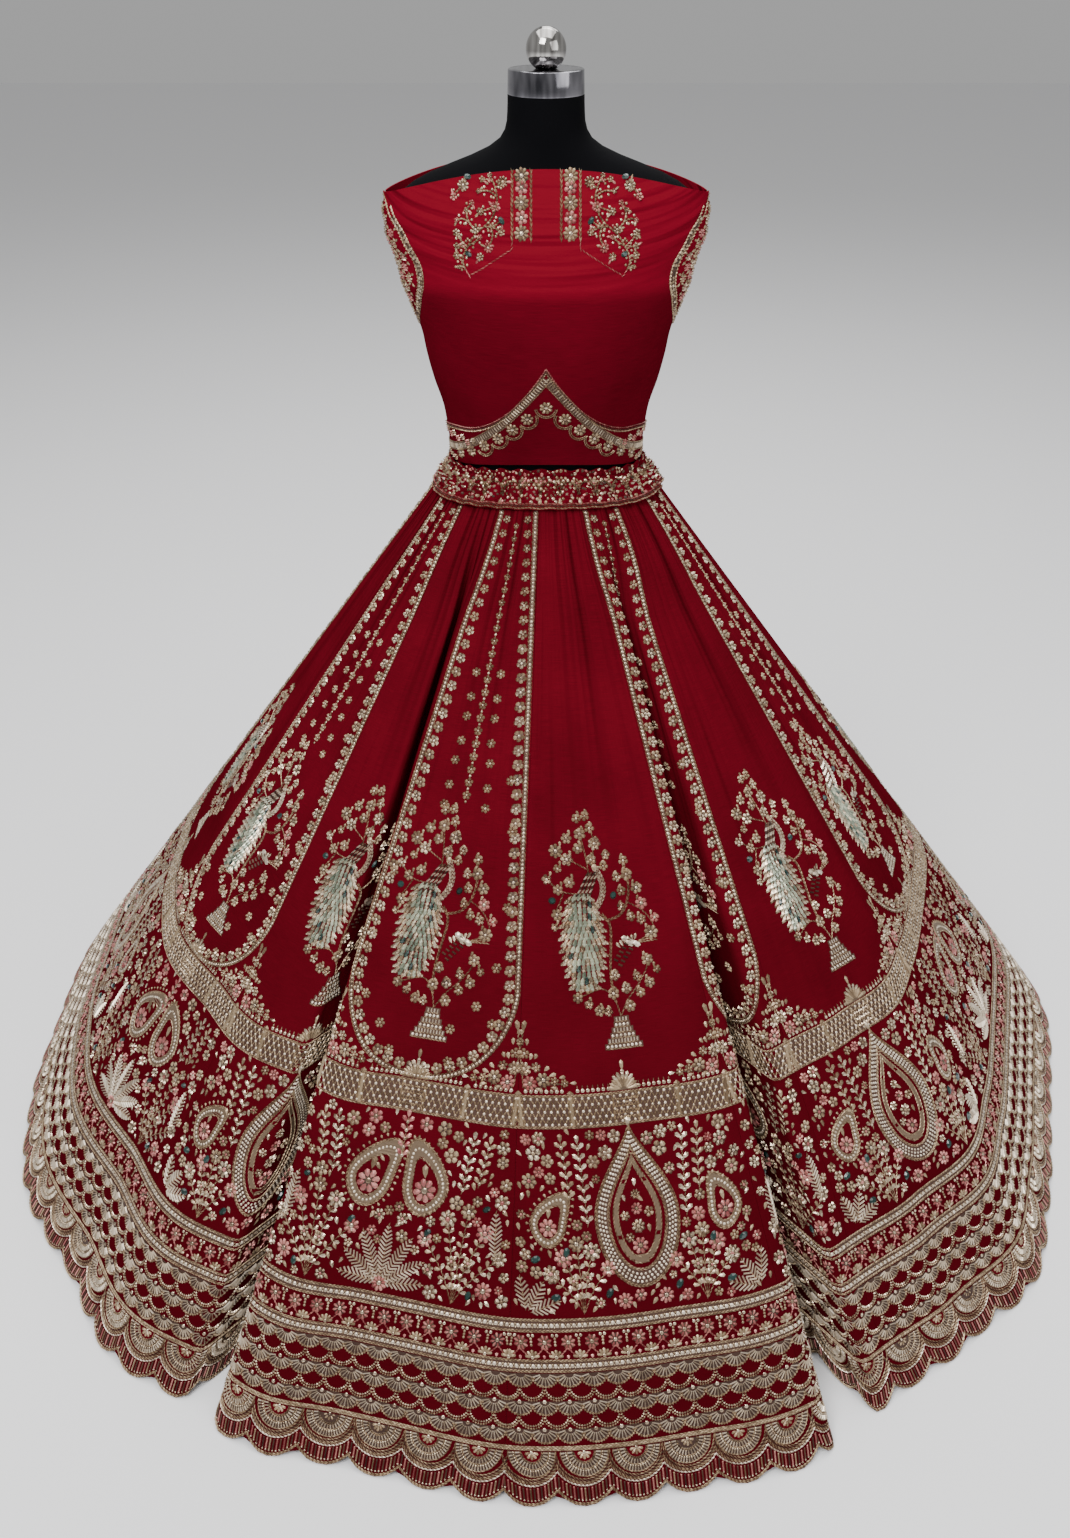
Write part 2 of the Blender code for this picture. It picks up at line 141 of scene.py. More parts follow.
def on_skirt(u, v, height=0.0):
    """Points a little above the skirt's outer face."""
    normals = read_grid(grid_normals, u, v)
    normals /= np.linalg.norm(normals, axis=-1, keepdims=True)
    return read_grid(skirt_grid, u, v) + np.asarray(height)[..., None] * normals


def kali_width(v):
    return (1 - v) * KALI_AT_WAIST + v * KALI_AT_HEM


def scallop_edge(fraction):
    along = (np.asarray(fraction) * SCALLOPS) % 1.0
    return 1 - np.abs(2 * along - 1) ** 2.2 * SCALLOP_DEPTH / SLANT


def plain_mesh(name, maker):
    """The evaluated shape of an object as a plain mesh object, which takes its place."""
    shape = bpy.data.meshes.new_from_object(maker.evaluated_get(bpy.context.evaluated_depsgraph_get()))
    source = maker.data
    bpy.data.objects.remove(maker)
    bpy.data.meshes.remove(source)
    shape.name = name
    made = bpy.data.objects.new(name, shape)
    bpy.context.scene.collection.objects.link(made)
    return made


def cloth_piece(name, points, maps, thickness, closed=False):
    """A sheet through rows of points, with its UV maps and a wall behind its face."""
    rows, columns = points.shape[:2]
    k, j = np.meshgrid(np.arange(rows - 1), np.arange(columns - (not closed)), indexing="ij")
    right = (j + 1) % columns
    corners = np.stack([k * columns + j, (k + 1) * columns + j, (k + 1) * columns + right, k * columns + right], -1)
    mesh = bpy.data.meshes.new(name + "_cloth")
    mesh.from_pydata(points.reshape(-1, 3), [], corners.reshape(-1, 4).tolist())
    for label, across, down in maps:
        layer = mesh.uv_layers.new(name=label)
        places = np.stack([across, down], -1).reshape(-1, 2)[corners.reshape(-1)]
        if closed:
            last = (j == columns - 1).reshape(-1)
            places = places.reshape(-1, 4, 2)
            places[last, 2:, 0] += 1.0
        layer.data.foreach_set("uv", places.astype(np.float32).reshape(-1))
    mesh.shade_smooth()
    made = bpy.data.objects.new(name + "_cloth", mesh)
    bpy.context.scene.collection.objects.link(made)
    wall = made.modifiers.new("Wall", "SOLIDIFY")
    wall.thickness = thickness
    wall.offset = -1.0
    piece = plain_mesh(name + "_cloth", made)
    piece.data.set_sharp_from_angle(angle=math.radians(60))
    return piece


class Socket:
    """A shader value that takes part in plain arithmetic."""

    def __init__(self, tree, link):
        self.tree, self.link = tree, link

    def node(self, kind, values=None, out=0, **settings):
        made = self.tree.nodes.new(kind)
        stops = settings.pop("stops", None)
        for key, value in settings.items():
            setattr(made, key, value)
        if stops:
            ramp = made.color_ramp.elements
            while len(ramp) < len(stops):
                ramp.new(0.5)
            for stop, (place, colour) in zip(ramp, stops):
                stop.position = place
                stop.color = (*colour, 1)
        for key, value in (values or {}).items():
            if isinstance(value, Socket):
                self.tree.links.new(value.link, made.inputs[key])
            else:
                made.inputs[key].default_value = value
        return Socket(self.tree, made.outputs[out])

    def maths(self, operation, *values):
        return self.node("ShaderNodeMath", dict(enumerate(values)), operation=operation)

    def __add__(self, other):
        return self.maths("ADD", self, other)

    def __radd__(self, other):
        return self.maths("ADD", other, self)

    def __sub__(self, other):
        return self.maths("SUBTRACT", self, other)

    def __rsub__(self, other):
        return self.maths("SUBTRACT", other, self)

    def __mul__(self, other):
        return self.maths("MULTIPLY", self, other)

    def __rmul__(self, other):
        return self.maths("MULTIPLY", other, self)

    def __truediv__(self, other):
        return self.maths("DIVIDE", self, other)

    def __pow__(self, other):
        return self.maths("POWER", self, other)

    def __abs__(self):
        return self.maths("ABSOLUTE", self)

    def above(self, edge, soft):
        """0 below the edge, 1 above it, with a soft step between."""
        return ((self - edge) / soft + 0.5).clamped()

    def between(self, low, high, soft):
        return self.above(low, soft) * (1 - self.above(high, soft))

    def clamped(self):
        return self.node("ShaderNodeClamp", {0: self})

    def fraction(self):
        return self.maths("FRACT", self)

    def sine(self):
        return self.maths("SINE", self)

    def mixed(self, first, second):
        """A colour between two, with this value as the share of the second."""
        return self.node("ShaderNodeMix", {0: self, 6: first, 7: second}, out=2, data_type="RGBA")


def finish_material(name, roughness=0.5, metallic=0.0, **fixed):
    """A material with its shader, and a socket to write its pattern with."""
    made = bpy.data.materials.new(name)
    made.use_nodes = True
    shader = made.node_tree.nodes["Principled BSDF"]
    shader.inputs["Roughness"].default_value = roughness
    shader.inputs["Metallic"].default_value = metallic
    for key, value in fixed.items():
        shader.inputs[key.replace("_", " ")].default_value = value
    return made, shader, Socket(made.node_tree, None)


def join(value, shader, name):
    value.tree.links.new(value.link, shader.inputs[name])


def raw_silk(name, uv_name, deep, lit, folds, painted_light):
    """Crimson raw silk: uneven weft slubs, a crossed weave and soft small folds; its sheen and shade are painted light,
    laid into its colour by the function given last.
    """
    made, shader, start = finish_material(name, 0.5, Specular_IOR_Level=0.0)
    uv = start.node("ShaderNodeUVMap", uv_map=uv_name)
    across = start.node("ShaderNodeSeparateXYZ", {0: uv})
    down = start.node("ShaderNodeSeparateXYZ", {0: uv}, out=1)
    weft = start.node("ShaderNodeCombineXYZ", {0: across * 55.0, 1: down * 1400.0})
    slubs = start.node("ShaderNodeTexNoise", {"Vector": weft, "Scale": 1.0, "Detail": 2.0})
    broad = start.node("ShaderNodeTexNoise", {"Vector": uv, "Scale": 9.0, "Detail": 2.0})
    weave = (across * 5200.0).sine() * (down * 5200.0).sine()
    tone = (slubs * 0.55 + broad * 0.45).above(0.5, 0.5)
    # Painted light and shade: the base colour carries them as well as the slubs.
    join(painted_light(start, tone).mixed((*deep, 1), (*lit, 1)), shader, "Base Color")
    join(0.62 - slubs * 0.22, shader, "Roughness")
    height = slubs * 0.8 + weave * 0.2
    fine = start.node("ShaderNodeBump", {"Strength": 0.35, "Distance": 0.0004, "Height": height})
    join(start.node("ShaderNodeBump", {"Strength": 1.0, "Distance": 0.006, "Height": folds(start), "Normal": fine}),
         shader, "Normal")
    return made


def gathers(start):
    """Narrow and broad folds that run down from the waist and fade out."""
    place = start.node("ShaderNodeUVMap", uv_map="place")
    share = start.node("ShaderNodeSeparateXYZ", {0: place})
    down = start.node("ShaderNodeSeparateXYZ", {0: place}, out=1)
    streak = start.node("ShaderNodeCombineXYZ", {0: share * 7.0, 1: down * 2.2})
    waves = start.node("ShaderNodeTexNoise", {"Vector": streak, "Scale": 1.0, "Detail": 1.5})
    lane = start.node("ShaderNodeCombineXYZ", {0: share * 2.4, 1: down * 1.1, 2: 4.0})
    broad = start.node("ShaderNodeTexNoise", {"Vector": lane, "Scale": 1.0, "Detail": 0.5})
    return waves * (1.15 - down * 1.1).clamped() * 1.6 + broad * (1.35 - down * 1.2).clamped() * 9.0


def drape(start):
    """Soft creases that sag from shoulder to shoulder across the upper chest."""
    uv = start.node("ShaderNodeUVMap", uv_map="metres")
    across = start.node("ShaderNodeSeparateXYZ", {0: uv})
    height = start.node("ShaderNodeSeparateXYZ", {0: uv}, out=1)
    sag = height + across * across * -1.1
    crease = start.node("ShaderNodeCombineXYZ", {0: across * 6.0, 1: sag * 75.0})
    waves = start.node("ShaderNodeTexNoise", {"Vector": crease, "Scale": 1.0, "Detail": 1.5})
    return waves * (0.15 + sag.between(1.165, 1.245, 0.05) * 1.6)


def painted_chest_light(start, tone):
    """Painted light: the colour of the upper chest, where the cloth lies doubled, is lightened for the light that falls
    on it from above.
    """
    uv = start.node("ShaderNodeUVMap", uv_map="metres")
    height = start.node("ShaderNodeSeparateXYZ", {0: uv}, out=1)
    return (tone * 0.6 + height.above(1.146, 0.016) * 0.75).clamped()


def worked_shade(start, tone):
    """Painted shade: the silk's colour grows darker down the panel, where the close raised work shades it."""
    place = start.node("ShaderNodeUVMap", uv_map="place")
    down = start.node("ShaderNodeSeparateXYZ", {0: place}, out=1)
    return (tone * 0.69 + 0.31) * (1 - down.above(0.60, 0.50) * 0.6)


# Painted shade: the deep colour reaches below the plain silk's, for the painted shade of the worked border.
crimson_silk = raw_silk("Crimson raw silk", "metres", (0.034, 0.0013, 0.0027), (0.124, 0.0042, 0.0102), gathers, worked_shade)
# Painted light: the lit colour here reaches past the plain silk's, for the painted light on the upper chest.
draped_silk = raw_silk("Draped crimson silk", "metres", (0.058, 0.0018, 0.0050), (0.152, 0.0046, 0.0126), drape, painted_chest_light)

kali_cloths = []
for number in range(KALIS):
    levels = np.concatenate([rows_down[rows_down < 0.955], [0.958, 0.972]])
    fraction = np.arange(CELLS + 1) / CELLS
    v = np.repeat(levels[:, None], CELLS + 1, axis=1)
    v = np.concatenate([v, scallop_edge(fraction)[None]])
    share = np.broadcast_to(fraction, v.shape)
    margin = 0.5 * SEAM_GAP / kali_width(v)
    u = number + margin + share * (1 - 2 * margin)
    points = on_skirt(u, v)
    metres = ("metres", (share - 0.5) * kali_width(v) + number * 0.4, -v * SLANT)
    place = ("place", share, v)
    piece = cloth_piece(f"kali_{number + 1:02d}", points, (metres, place), CLOTH)
    piece.data.materials.append(crimson_silk)
    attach(piece, "root")
    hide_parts(f"kali_{number + 1:02d}")
    kali_cloths.append(piece)


# The embroidery is worked on each panel while it is flat on a frame: antique gold zari
# cords and dabka, bugles, sequins, beads and a few glass stones, each held by its own
# stitch. One mesh shape serves each kind of piece.
PETAL, STITCH, BUGLE, BEAD, STONE, HALF_DISC, PATCH, ROUND = range(8)
GOLD, SEQUIN, ROSE, GREEN, SAGE, DABKA, SILVER, CRIMSON, ZARI = range(9)


def fan_shape(name, outline, top, smooth=False):
    """A low piece: an outline on the cloth raised to one point."""
    mesh = bpy.data.meshes.new(name)
    count = len(outline)
    corners = [(x, y, 0) for x, y in outline] + [top]
    mesh.from_pydata(corners, [], [(i, (i + 1) % count, count) for i in range(count)])
    if smooth:
        mesh.shade_smooth()
    return bpy.data.objects.new(name, mesh)


def ring_outline(count, wide=0.5):
    return [(0.5 * math.cos(2 * math.pi * i / count), wide * math.sin(2 * math.pi * i / count)) for i in range(count)]


def stone_shape():
    """An oval glass stone with its table and one row of facets."""
    mesh = bpy.data.meshes.new("4_stone")
    low = [(x, y, 0.0) for x, y in ring_outline(8)]
    high = [(0.55 * x, 0.55 * y, 1.0) for x, y in ring_outline(8)]
    sides = [(i, (i + 1) % 8, 8 + (i + 1) % 8, 8 + i) for i in range(8)]
    mesh.from_pydata(low + high, [], [*sides, tuple(range(8, 16))])
    return bpy.data.objects.new("4_stone", mesh)


def bugle_shape():
    mesh = bpy.data.meshes.new("2_bugle")
    base = [(-0.5, -0.5, 0), (0.5, -0.5, 0), (0.5, 0.5, 0), (-0.5, 0.5, 0)]
    mesh.from_pydata([*base, (-0.42, 0, 1), (0.42, 0, 1)], [], [(0, 1, 5, 4), (1, 2, 5), (2, 3, 4, 5), (3, 0, 4)])
    return bpy.data.objects.new("2_bugle", mesh)


half_outline = [(0.5 * math.cos(a), 0.5 * math.sin(a)) for a in np.linspace(-math.pi, 0, 11)]
petal_outline = [(-0.5, 0), (-0.12, -0.36), (0.28, -0.44), (0.5, 0), (0.28, 0.44), (-0.12, 0.36)]
round_outline = [(-0.5, 0), (-0.12, -0.44), (0.36, -0.44), (0.52, 0), (0.36, 0.44), (-0.12, 0.44)]
bits = bpy.data.collections.new("Embroidery pieces")
for bit in (
    fan_shape("0_petal", petal_outline, (0.1, 0, 1)),
    fan_shape("1_stitch", ring_outline(4), (0, 0, 1)),
    bugle_shape(),
    fan_shape("3_bead", ring_outline(6), (0, 0, 1), smooth=True),
    stone_shape(),
    fan_shape("5_half_disc", half_outline, (0, -0.2, 0.02)),
    fan_shape("6_patch", [(-0.5, -0.5), (0.5, -0.5), (0.5, 0.5), (-0.5, 0.5)], (0, 0, 0.02)),
    fan_shape("7_round", round_outline, (0.1, 0, 1)),
):
    bits.objects.link(bit)


class Work:
    """A piece of embroidery laid out flat, x across and y up, in metres."""

    def __init__(self, seed=1):
        self.pieces = []
        self.chance = np.random.default_rng(seed)

    def add(self, kind, x, y, turn, long, wide, high, finish):
        row = np.broadcast_arrays(kind, x, y, turn, long, wide, high, finish)
        self.pieces.append(np.stack([np.asarray(part, float).reshape(-1) for part in row]))

    def stacked(self):
        return np.concatenate(self.pieces, axis=1)

    def along(self, path, pitch, shift=0.0, aside=0.0):
        """Places every pitch along a path, with the direction there."""
        path = np.asarray(path, float)
        steps = np.hypot(*np.diff(path, axis=0).T)
        run = np.concatenate([[0], np.cumsum(steps)])
        count = max(1, round(run[-1] / pitch))
        at = (np.arange(count) + 0.5 + shift) / count * run[-1]
        ahead = np.stack([np.interp(at + 0.0004, run, path[:, i]) for i in (0, 1)])
        behind = np.stack([np.interp(at - 0.0004, run, path[:, i]) for i in (0, 1)])
        turn = np.arctan2(*(ahead - behind)[::-1])
        middle = 0.5 * (ahead + behind)
        return middle[0] - np.sin(turn) * aside, middle[1] + np.cos(turn) * aside, turn

    def cord(self, path, finish=GOLD, strands=1, long=0.0062, wide=0.0016, high=0.0009, lay=0.26):
        """Twisted cords side by side: slanted stitches that overlap along the path."""
        for strand in range(strands):
            aside = (strand - (strands - 1) / 2) * wide * 0.95
            x, y, turn = self.along(path, long * 0.72, 0.25 * (strand % 2), aside)
            slant = lay if strand % 2 else -lay
            self.add(STITCH, x, y, turn + slant, long, wide, high, finish)

    def chain(self, path, size=0.0022, finish=GOLD, pitch=None, high=None):
        x, y, turn = self.along(path, pitch or size * 1.05)
        self.add(STITCH, x, y, turn, size * 1.15, size * 1.15, high or size * 0.5, finish)

    def bars(self, path, long, finish, pitch=0.0022, wide=0.0014, aside=0.0):
        """Bugles side by side, square to the path."""
        x, y, turn = self.along(path, pitch, 0.0, aside)
        self.add(BUGLE, x, y, turn + math.pi / 2, long, wide, 0.0010, finish)

    def flower(self, x, y, radius, petals=6, finish=GOLD, heart=SEQUIN, turn=0.3, wide=1.0):
        """Round petals about a bead, on a couched dabka ground darkened as painted shade."""
        angle = turn + np.arange(petals) * 2 * math.pi / petals
        out = radius * 0.62
        breadth = min(0.78 * radius, wide * 2 * math.pi * out / petals)
        if radius > 0.0060:
            self.add(BEAD, x, y, turn, radius * 1.8, radius * 1.8, 0.0004, DABKA)
        self.add(ROUND, x + out * np.cos(angle), y + out * np.sin(angle), angle, radius * 0.76, breadth, 0.0022, finish)
        self.add(BEAD, x, y, 0, radius * 0.60, radius * 0.60, 0.0020, heart)

    def half_flower(self, x, y, radius, petals=5, finish=GOLD, facing=-math.pi / 2):
        angle = facing + np.linspace(-1.35, 1.35, petals)
        out = radius * 0.58
        self.add(ROUND, x + out * np.cos(angle), y + out * np.sin(angle), angle, radius * 0.86, radius * 0.44, 0.0013, finish)
        self.add(BEAD, x, y, 0, radius * 0.5, radius * 0.5, 0.0015, SEQUIN)

    def leaf(self, x, y, turn, long, wide, finish=GOLD):
        self.add(PETAL, x + 0.5 * long * np.cos(turn), y + 0.5 * long * np.sin(turn), turn, long, wide, 0.0013, finish)

    def stone(self, x, y, long, wide, turn, finish=GREEN):
        self.add(STONE, x, y, turn, long, wide, 0.0022, finish)

    def patch(self, path, wide, finish, pitch=0.010):
        """A strip of close satin stitch under the raised work."""
        x, y, turn = self.along(path, pitch)
        self.add(PATCH, x, y, turn, pitch * 1.12, wide, 0.0, finish)

    def ground(self, outline, finish, rows=24, hole=None):
        """Close satin stitch inside a closed outline, or between it and a hole."""
        def crossings(closed, y):
            ahead = np.roll(closed, -1, axis=0)
            met = (closed[:, 1] - y) * (ahead[:, 1] - y) < 0
            first, second = closed[met], ahead[met]
            share = (y - first[:, 1]) / (second[:, 1] - first[:, 1])
            return first[:, 0] + share * (second[:, 0] - first[:, 0])
        levels = np.linspace(outline[:, 1].min(), outline[:, 1].max(), rows + 1)
        deep = levels[1] - levels[0]
        for y in levels[:-1] + 0.5 * deep:
            ends = crossings(outline, y)
            inner = crossings(hole, y) if hole is not None else ends[:0]
            if len(ends) < 2:
                continue
            spans = [(ends.min(), ends.max())]
            if len(inner) > 1:
                spans = [(ends.min(), inner.min()), (inner.max(), ends.max())]
            for left, right in spans:
                self.add(PATCH, 0.5 * (left + right), y, 0, right - left, deep * 1.04, 0, finish)

    def fill_gaps(self, low, high, half, tries=1500):
        """Flowers, leaves and beads where the main motifs leave the cloth bare."""
        _, x, y, _, long, wide, _, _ = self.stacked()
        near = (y > low - 0.02) & (y < high + 0.02)
        x, y = list(x[near]), list(y[near])
        reach = list(0.5 * np.sqrt(long[near] * wide[near]))
        finishes_here = (GOLD, SEQUIN, ROSE, GOLD, SEQUIN)
        for i in range(tries):
            py = self.chance.uniform(low, high)
            px = self.chance.uniform(-1, 1) * half(py)
            room = float(np.min(np.hypot(np.array(x) - px, np.array(y) - py) - np.array(reach)))
            room = min(room, half(py) + 0.003 - abs(px), py - low + 0.004, high - py + 0.004)
            if room < 0.0042:
                continue
            radius = min(room * 0.92, 0.0088)
            if radius > 0.0050:
                self.flower(px, py, radius, (6, 7, 5)[i % 3], finishes_here[i % 5], (SEQUIN, ROSE, GOLD)[i % 3], 0.1 * i)
            else:
                self.leaf(px, py, 1.57 + self.chance.uniform(-0.9, 0.9), radius * 1.9, radius * 1.1, (GOLD, SEQUIN)[i % 2])
            x.append(px)
            y.append(py)
            reach.append(radius)


def arc(x, y, radius, first, last, count=25, tall=1.0):
    """Points on an arc, with angles in degrees from the +X side."""
    angle = np.radians(np.linspace(first, last, count))
    return np.stack([x + radius * np.cos(angle), y + radius * tall * np.sin(angle)], -1)


def curve(*points, count=24):
    """A smooth path near some points, with its first and last points on it."""
    path = np.asarray(points, float)
    for _ in range(3):
        near, far = path[:-1] * 0.75 + path[1:] * 0.25, path[:-1] * 0.25 + path[1:] * 0.75
        path = np.concatenate([path[:1], np.stack([near, far], 1).reshape(-1, 2)[1:-1], path[-1:]])
    return path


def level(t, margin=0.0, y_shift=0.0):
    """A line across a panel at t down the slant."""
    half = 0.5 * kali_width(t) - margin
    x = np.linspace(-half, half, 49)
    return np.stack([x, np.full_like(x, -t * SLANT + y_shift)], -1)


def spread_x(t, fraction):
    return (np.asarray(fraction) - 0.5) * kali_width(t)


# Rows of the wide hem border, from the edge up: a corded and fringed scallop with its
# half disc, three rows of fans, and the medallions between two sequinned lines.
MM = 0.001
LINE_WIDE = (0.8235, 0.8360)
LINE_SECOND = (0.8620, 0.8740)
LINE_THIN = (0.9430, 0.9475)
COLUMNS = 12
FAN_PITCH = 30.0 * MM


def sequin_line(work, top, bottom):
    """Two double cord borders with sequin and bead clusters between them."""
    deep = (bottom - top) * SLANT
    middle = 0.5 * (top + bottom)
    work.patch(level(middle), deep, DABKA, 0.016)
    for t in (top, bottom):
        toward = 1 if t < middle else -1
        work.cord(level(t, 0, -toward * 1.2 * MM), GOLD, 2, wide=1.5 * MM)
    x, y, turn = work.along(level(middle), 6.4 * MM)
    work.add(BEAD, x, y, 0, 4.9 * MM, 4.9 * MM, 2.2 * MM, SILVER)
    work.add(BEAD, x + 3.2 * MM, y + 1.7 * MM, 0, 2.3 * MM, 2.3 * MM, 1.6 * MM, GOLD)
    work.add(BEAD, x + 3.2 * MM, y - 1.7 * MM, 0, 2.3 * MM, 2.3 * MM, 1.6 * MM, SEQUIN)


def fans(work):
    """Three rows of fans in columns, and the bead chains that hang between them."""
    for row in range(3):
        top = LINE_SECOND[1] + (row * FAN_PITCH + 1.2 * MM) / SLANT
        y = -top * SLANT
        scale = kali_width(top) / COLUMNS / (31 * MM)
        for x in spread_x(top, (np.arange(COLUMNS) + 0.5) / COLUMNS):
            reach = 17.8 * MM * scale
            work.add(HALF_DISC, x, y, 0, 2 * reach, 1.8 * reach, 0.4 * MM, DABKA)
            angle = np.radians(np.linspace(-164, -16, 9))
            middle = 11.0 * MM * scale
            work.add(BUGLE, x + middle * np.cos(angle), y + middle * np.sin(angle) * 0.90, angle, 9.0 * MM, 1.5 * MM,
                     1.9 * MM, SILVER)
            work.chain(arc(x, y, reach, -168, -12, tall=0.9), 3.0 * MM, GOLD, 3.2 * MM)
            if row:
                work.add(BEAD, x, y - 0.5 * MM, 0, 4.6 * MM, 4.6 * MM, 2.0 * MM, SEQUIN)
        if row == 2:
            continue
        low = y - 16.4 * MM
        across = spread_x(top + 0.018, np.arange(COLUMNS + 1) / COLUMNS)
        pitch = across[1] - across[0]
        for x in across:
            work.chain(arc(x, low + 1 * MM, 0.46 * pitch, -175, -5, tall=0.86), 2.7 * MM, SEQUIN, 3.1 * MM)
            work.chain(arc(x, low + 1 * MM, 0.54 * pitch, -160, -20, tall=0.90), 2.3 * MM, GOLD, 3.0 * MM)


def medallions(work):
    """Small round medallions with flowers, hanging sprigs, and a zigzag with half flowers."""
    top = -LINE_WIDE[1] * SLANT
    t = LINE_WIDE[1] + 11 * MM / SLANT
    for x in spread_x(t, (np.arange(COLUMNS) + 0.5) / COLUMNS):
        work.flower(x, top - 11 * MM, 8.4 * MM, 8, ROSE, SEQUIN, wide=0.70)
        work.add(STITCH, x, top - 11 * MM, np.radians([30, 90, 150]), 6 * MM, 1.1 * MM, 2.0 * MM, SEQUIN)
    base = LINE_SECOND[0] - 3 * MM / SLANT
    valleys = spread_x(base, np.arange(COLUMNS + 1) / COLUMNS)
    for i, x in enumerate(valleys):
        work.add(BEAD, x + np.array([-2.4, 2.4]) * MM, top - 3.5 * MM, 0, 4.0 * MM, 4.0 * MM, 1.8 * MM, SEQUIN)
        work.add(BEAD, x, top - np.array([7.0, 10.4, 13.8]) * MM, 0, 3.2 * MM, 3.2 * MM, 1.6 * MM, GOLD)
        work.half_flower(x, -base * SLANT - 0.5 * MM, 8.4 * MM, 5, GOLD, math.pi / 2)
        if i < COLUMNS:
            crest = 0.5 * (x + valleys[i + 1])
            low, high = -base * SLANT - 0.5 * MM, -base * SLANT + 7.8 * MM
            path = curve((x + 6 * MM, low + 3 * MM), (crest - 5 * MM, high - 3 * MM), (crest, high + 2 * MM))
            mirrored = np.stack([2 * crest - path[:, 0], path[:, 1]], -1)
            for line in (path, mirrored):
                work.cord(line, ROSE, 1, 5 * MM, 1.9 * MM, 1.5 * MM)
            work.add(PETAL, crest, low + 0.5 * MM, math.pi / 2, 4.5 * MM, 4 * MM, 0.8 * MM, ROSE)


def hem_scallops(work):
    """Half discs of bars and sequins, the cords round them, a bugle fringe and the edge."""
    t = LINE_THIN[1] + 1.0 * MM / SLANT
    y = -t * SLANT
    for i in range(SCALLOPS):
        x = float(spread_x(t, (i + 0.5) / SCALLOPS))
        scale = kali_width(0.96) / SCALLOPS / (62 * MM)
        work.add(HALF_DISC, x, y, 0, 57 * MM * scale, 58 * MM * scale, 0.4 * MM, DABKA)
        work.add(HALF_DISC, x, y, 0, 23 * MM, 24 * MM, 1.2 * MM, CRIMSON)
        work.half_flower(x, y - 1 * MM, 7.8 * MM, 5, GOLD)
        work.cord(arc(x, y, 12.2 * MM, -180, 0), SEQUIN, 2, 4.6 * MM, 1.5 * MM, 1.5 * MM)
        angle = np.radians(np.linspace(-176, -4, 15))
        work.add(BUGLE, x + 16.2 * MM * np.cos(angle), y + 16.2 * MM * np.sin(angle), angle, 5.6 * MM, 1.7 * MM, 1.9 * MM, SILVER)
        work.cord(arc(x, y, 19.4 * MM, -180, 0), GOLD, 1)
        angle = np.radians(np.linspace(-176, -4, 23))
        for radius, kind, long, finish in ((21.6, BEAD, 2.6, SEQUIN), (25.2, BUGLE, 4.6, SILVER)):
            radius = radius * MM * scale
            work.add(kind, x + radius * np.cos(angle), y + radius * np.sin(angle), angle, long * MM,
                     2.4 * MM if kind == BEAD else 1.6 * MM, 1.7 * MM, finish)
        work.cord(arc(x, y, 27.9 * MM * scale, -180, 0), GOLD, 1)
        half = 0.5 * kali_width(0.975) / SCALLOPS
        for radius, finish, wide in ((31.0, GOLD, 1.6), (32.6, DABKA, 1.6), (34.2, GOLD, 1.6), (35.8, GOLD, 1.6), (38.2, SILVER, 2.2)):
            radius = radius * MM * scale
            reach = math.degrees(math.asin(min(1.0, half / radius)))
            path = arc(x * kali_width(0.975) / kali_width(t), y, radius, -90 - reach, -90 + reach)
            work.cord(path, finish, 1, wide=wide * MM, high=1.1 * MM)
        f = (i + np.linspace(0, 1, 25)) / SCALLOPS
        edge = scallop_edge(f)
        for up in (1.5, 3.2):
            place = edge - up * MM / SLANT
            work.cord(np.stack([spread_x(place, f), -place * SLANT], -1), GOLD, 1, wide=1.9 * MM, high=1.2 * MM)
        f = (i + (np.arange(15) + 0.5) / 15) / SCALLOPS
        low = -(scallop_edge(f) - 7.0 * MM / SLANT) * SLANT
        away = (f * SCALLOPS - i - 0.5) * 2 * half
        high = y - np.sqrt(np.maximum((40.2 * MM * scale) ** 2 - away**2, 0)) - 0.5 * MM
        middle = spread_x(0.985, f)
        work.add(BUGLE, middle, 0.5 * (low + high), math.pi / 2, high - low, 1.9 * MM, 1.3 * MM,
                 np.array([DABKA, ROSE, GOLD, DABKA, ROSE])[np.arange(15) % 5])
        work.add(BEAD, middle, low - 0.6 * MM, 0, 2.4 * MM, 2.4 * MM, 1.4 * MM, SEQUIN)


def hem_border(work):
    sequin_line(work, *LINE_WIDE)
    sequin_line(work, *LINE_SECOND)
    medallions(work)
    fans(work)
    work.patch(level(sum(LINE_THIN) / 2), 5 * MM, ZARI, 0.016)
    work.cord(level(sum(LINE_THIN) / 2), GOLD, 3, wide=1.7 * MM)
    hem_scallops(work)


# The lattice band above the knee: a beaded net on gold ground between double cords, with
# satin bars, a row of drop beads above it, and a lotus finial at the panel's middle.
BAND_TOP = 0.6100
BAND_BOTTOM = 0.6425


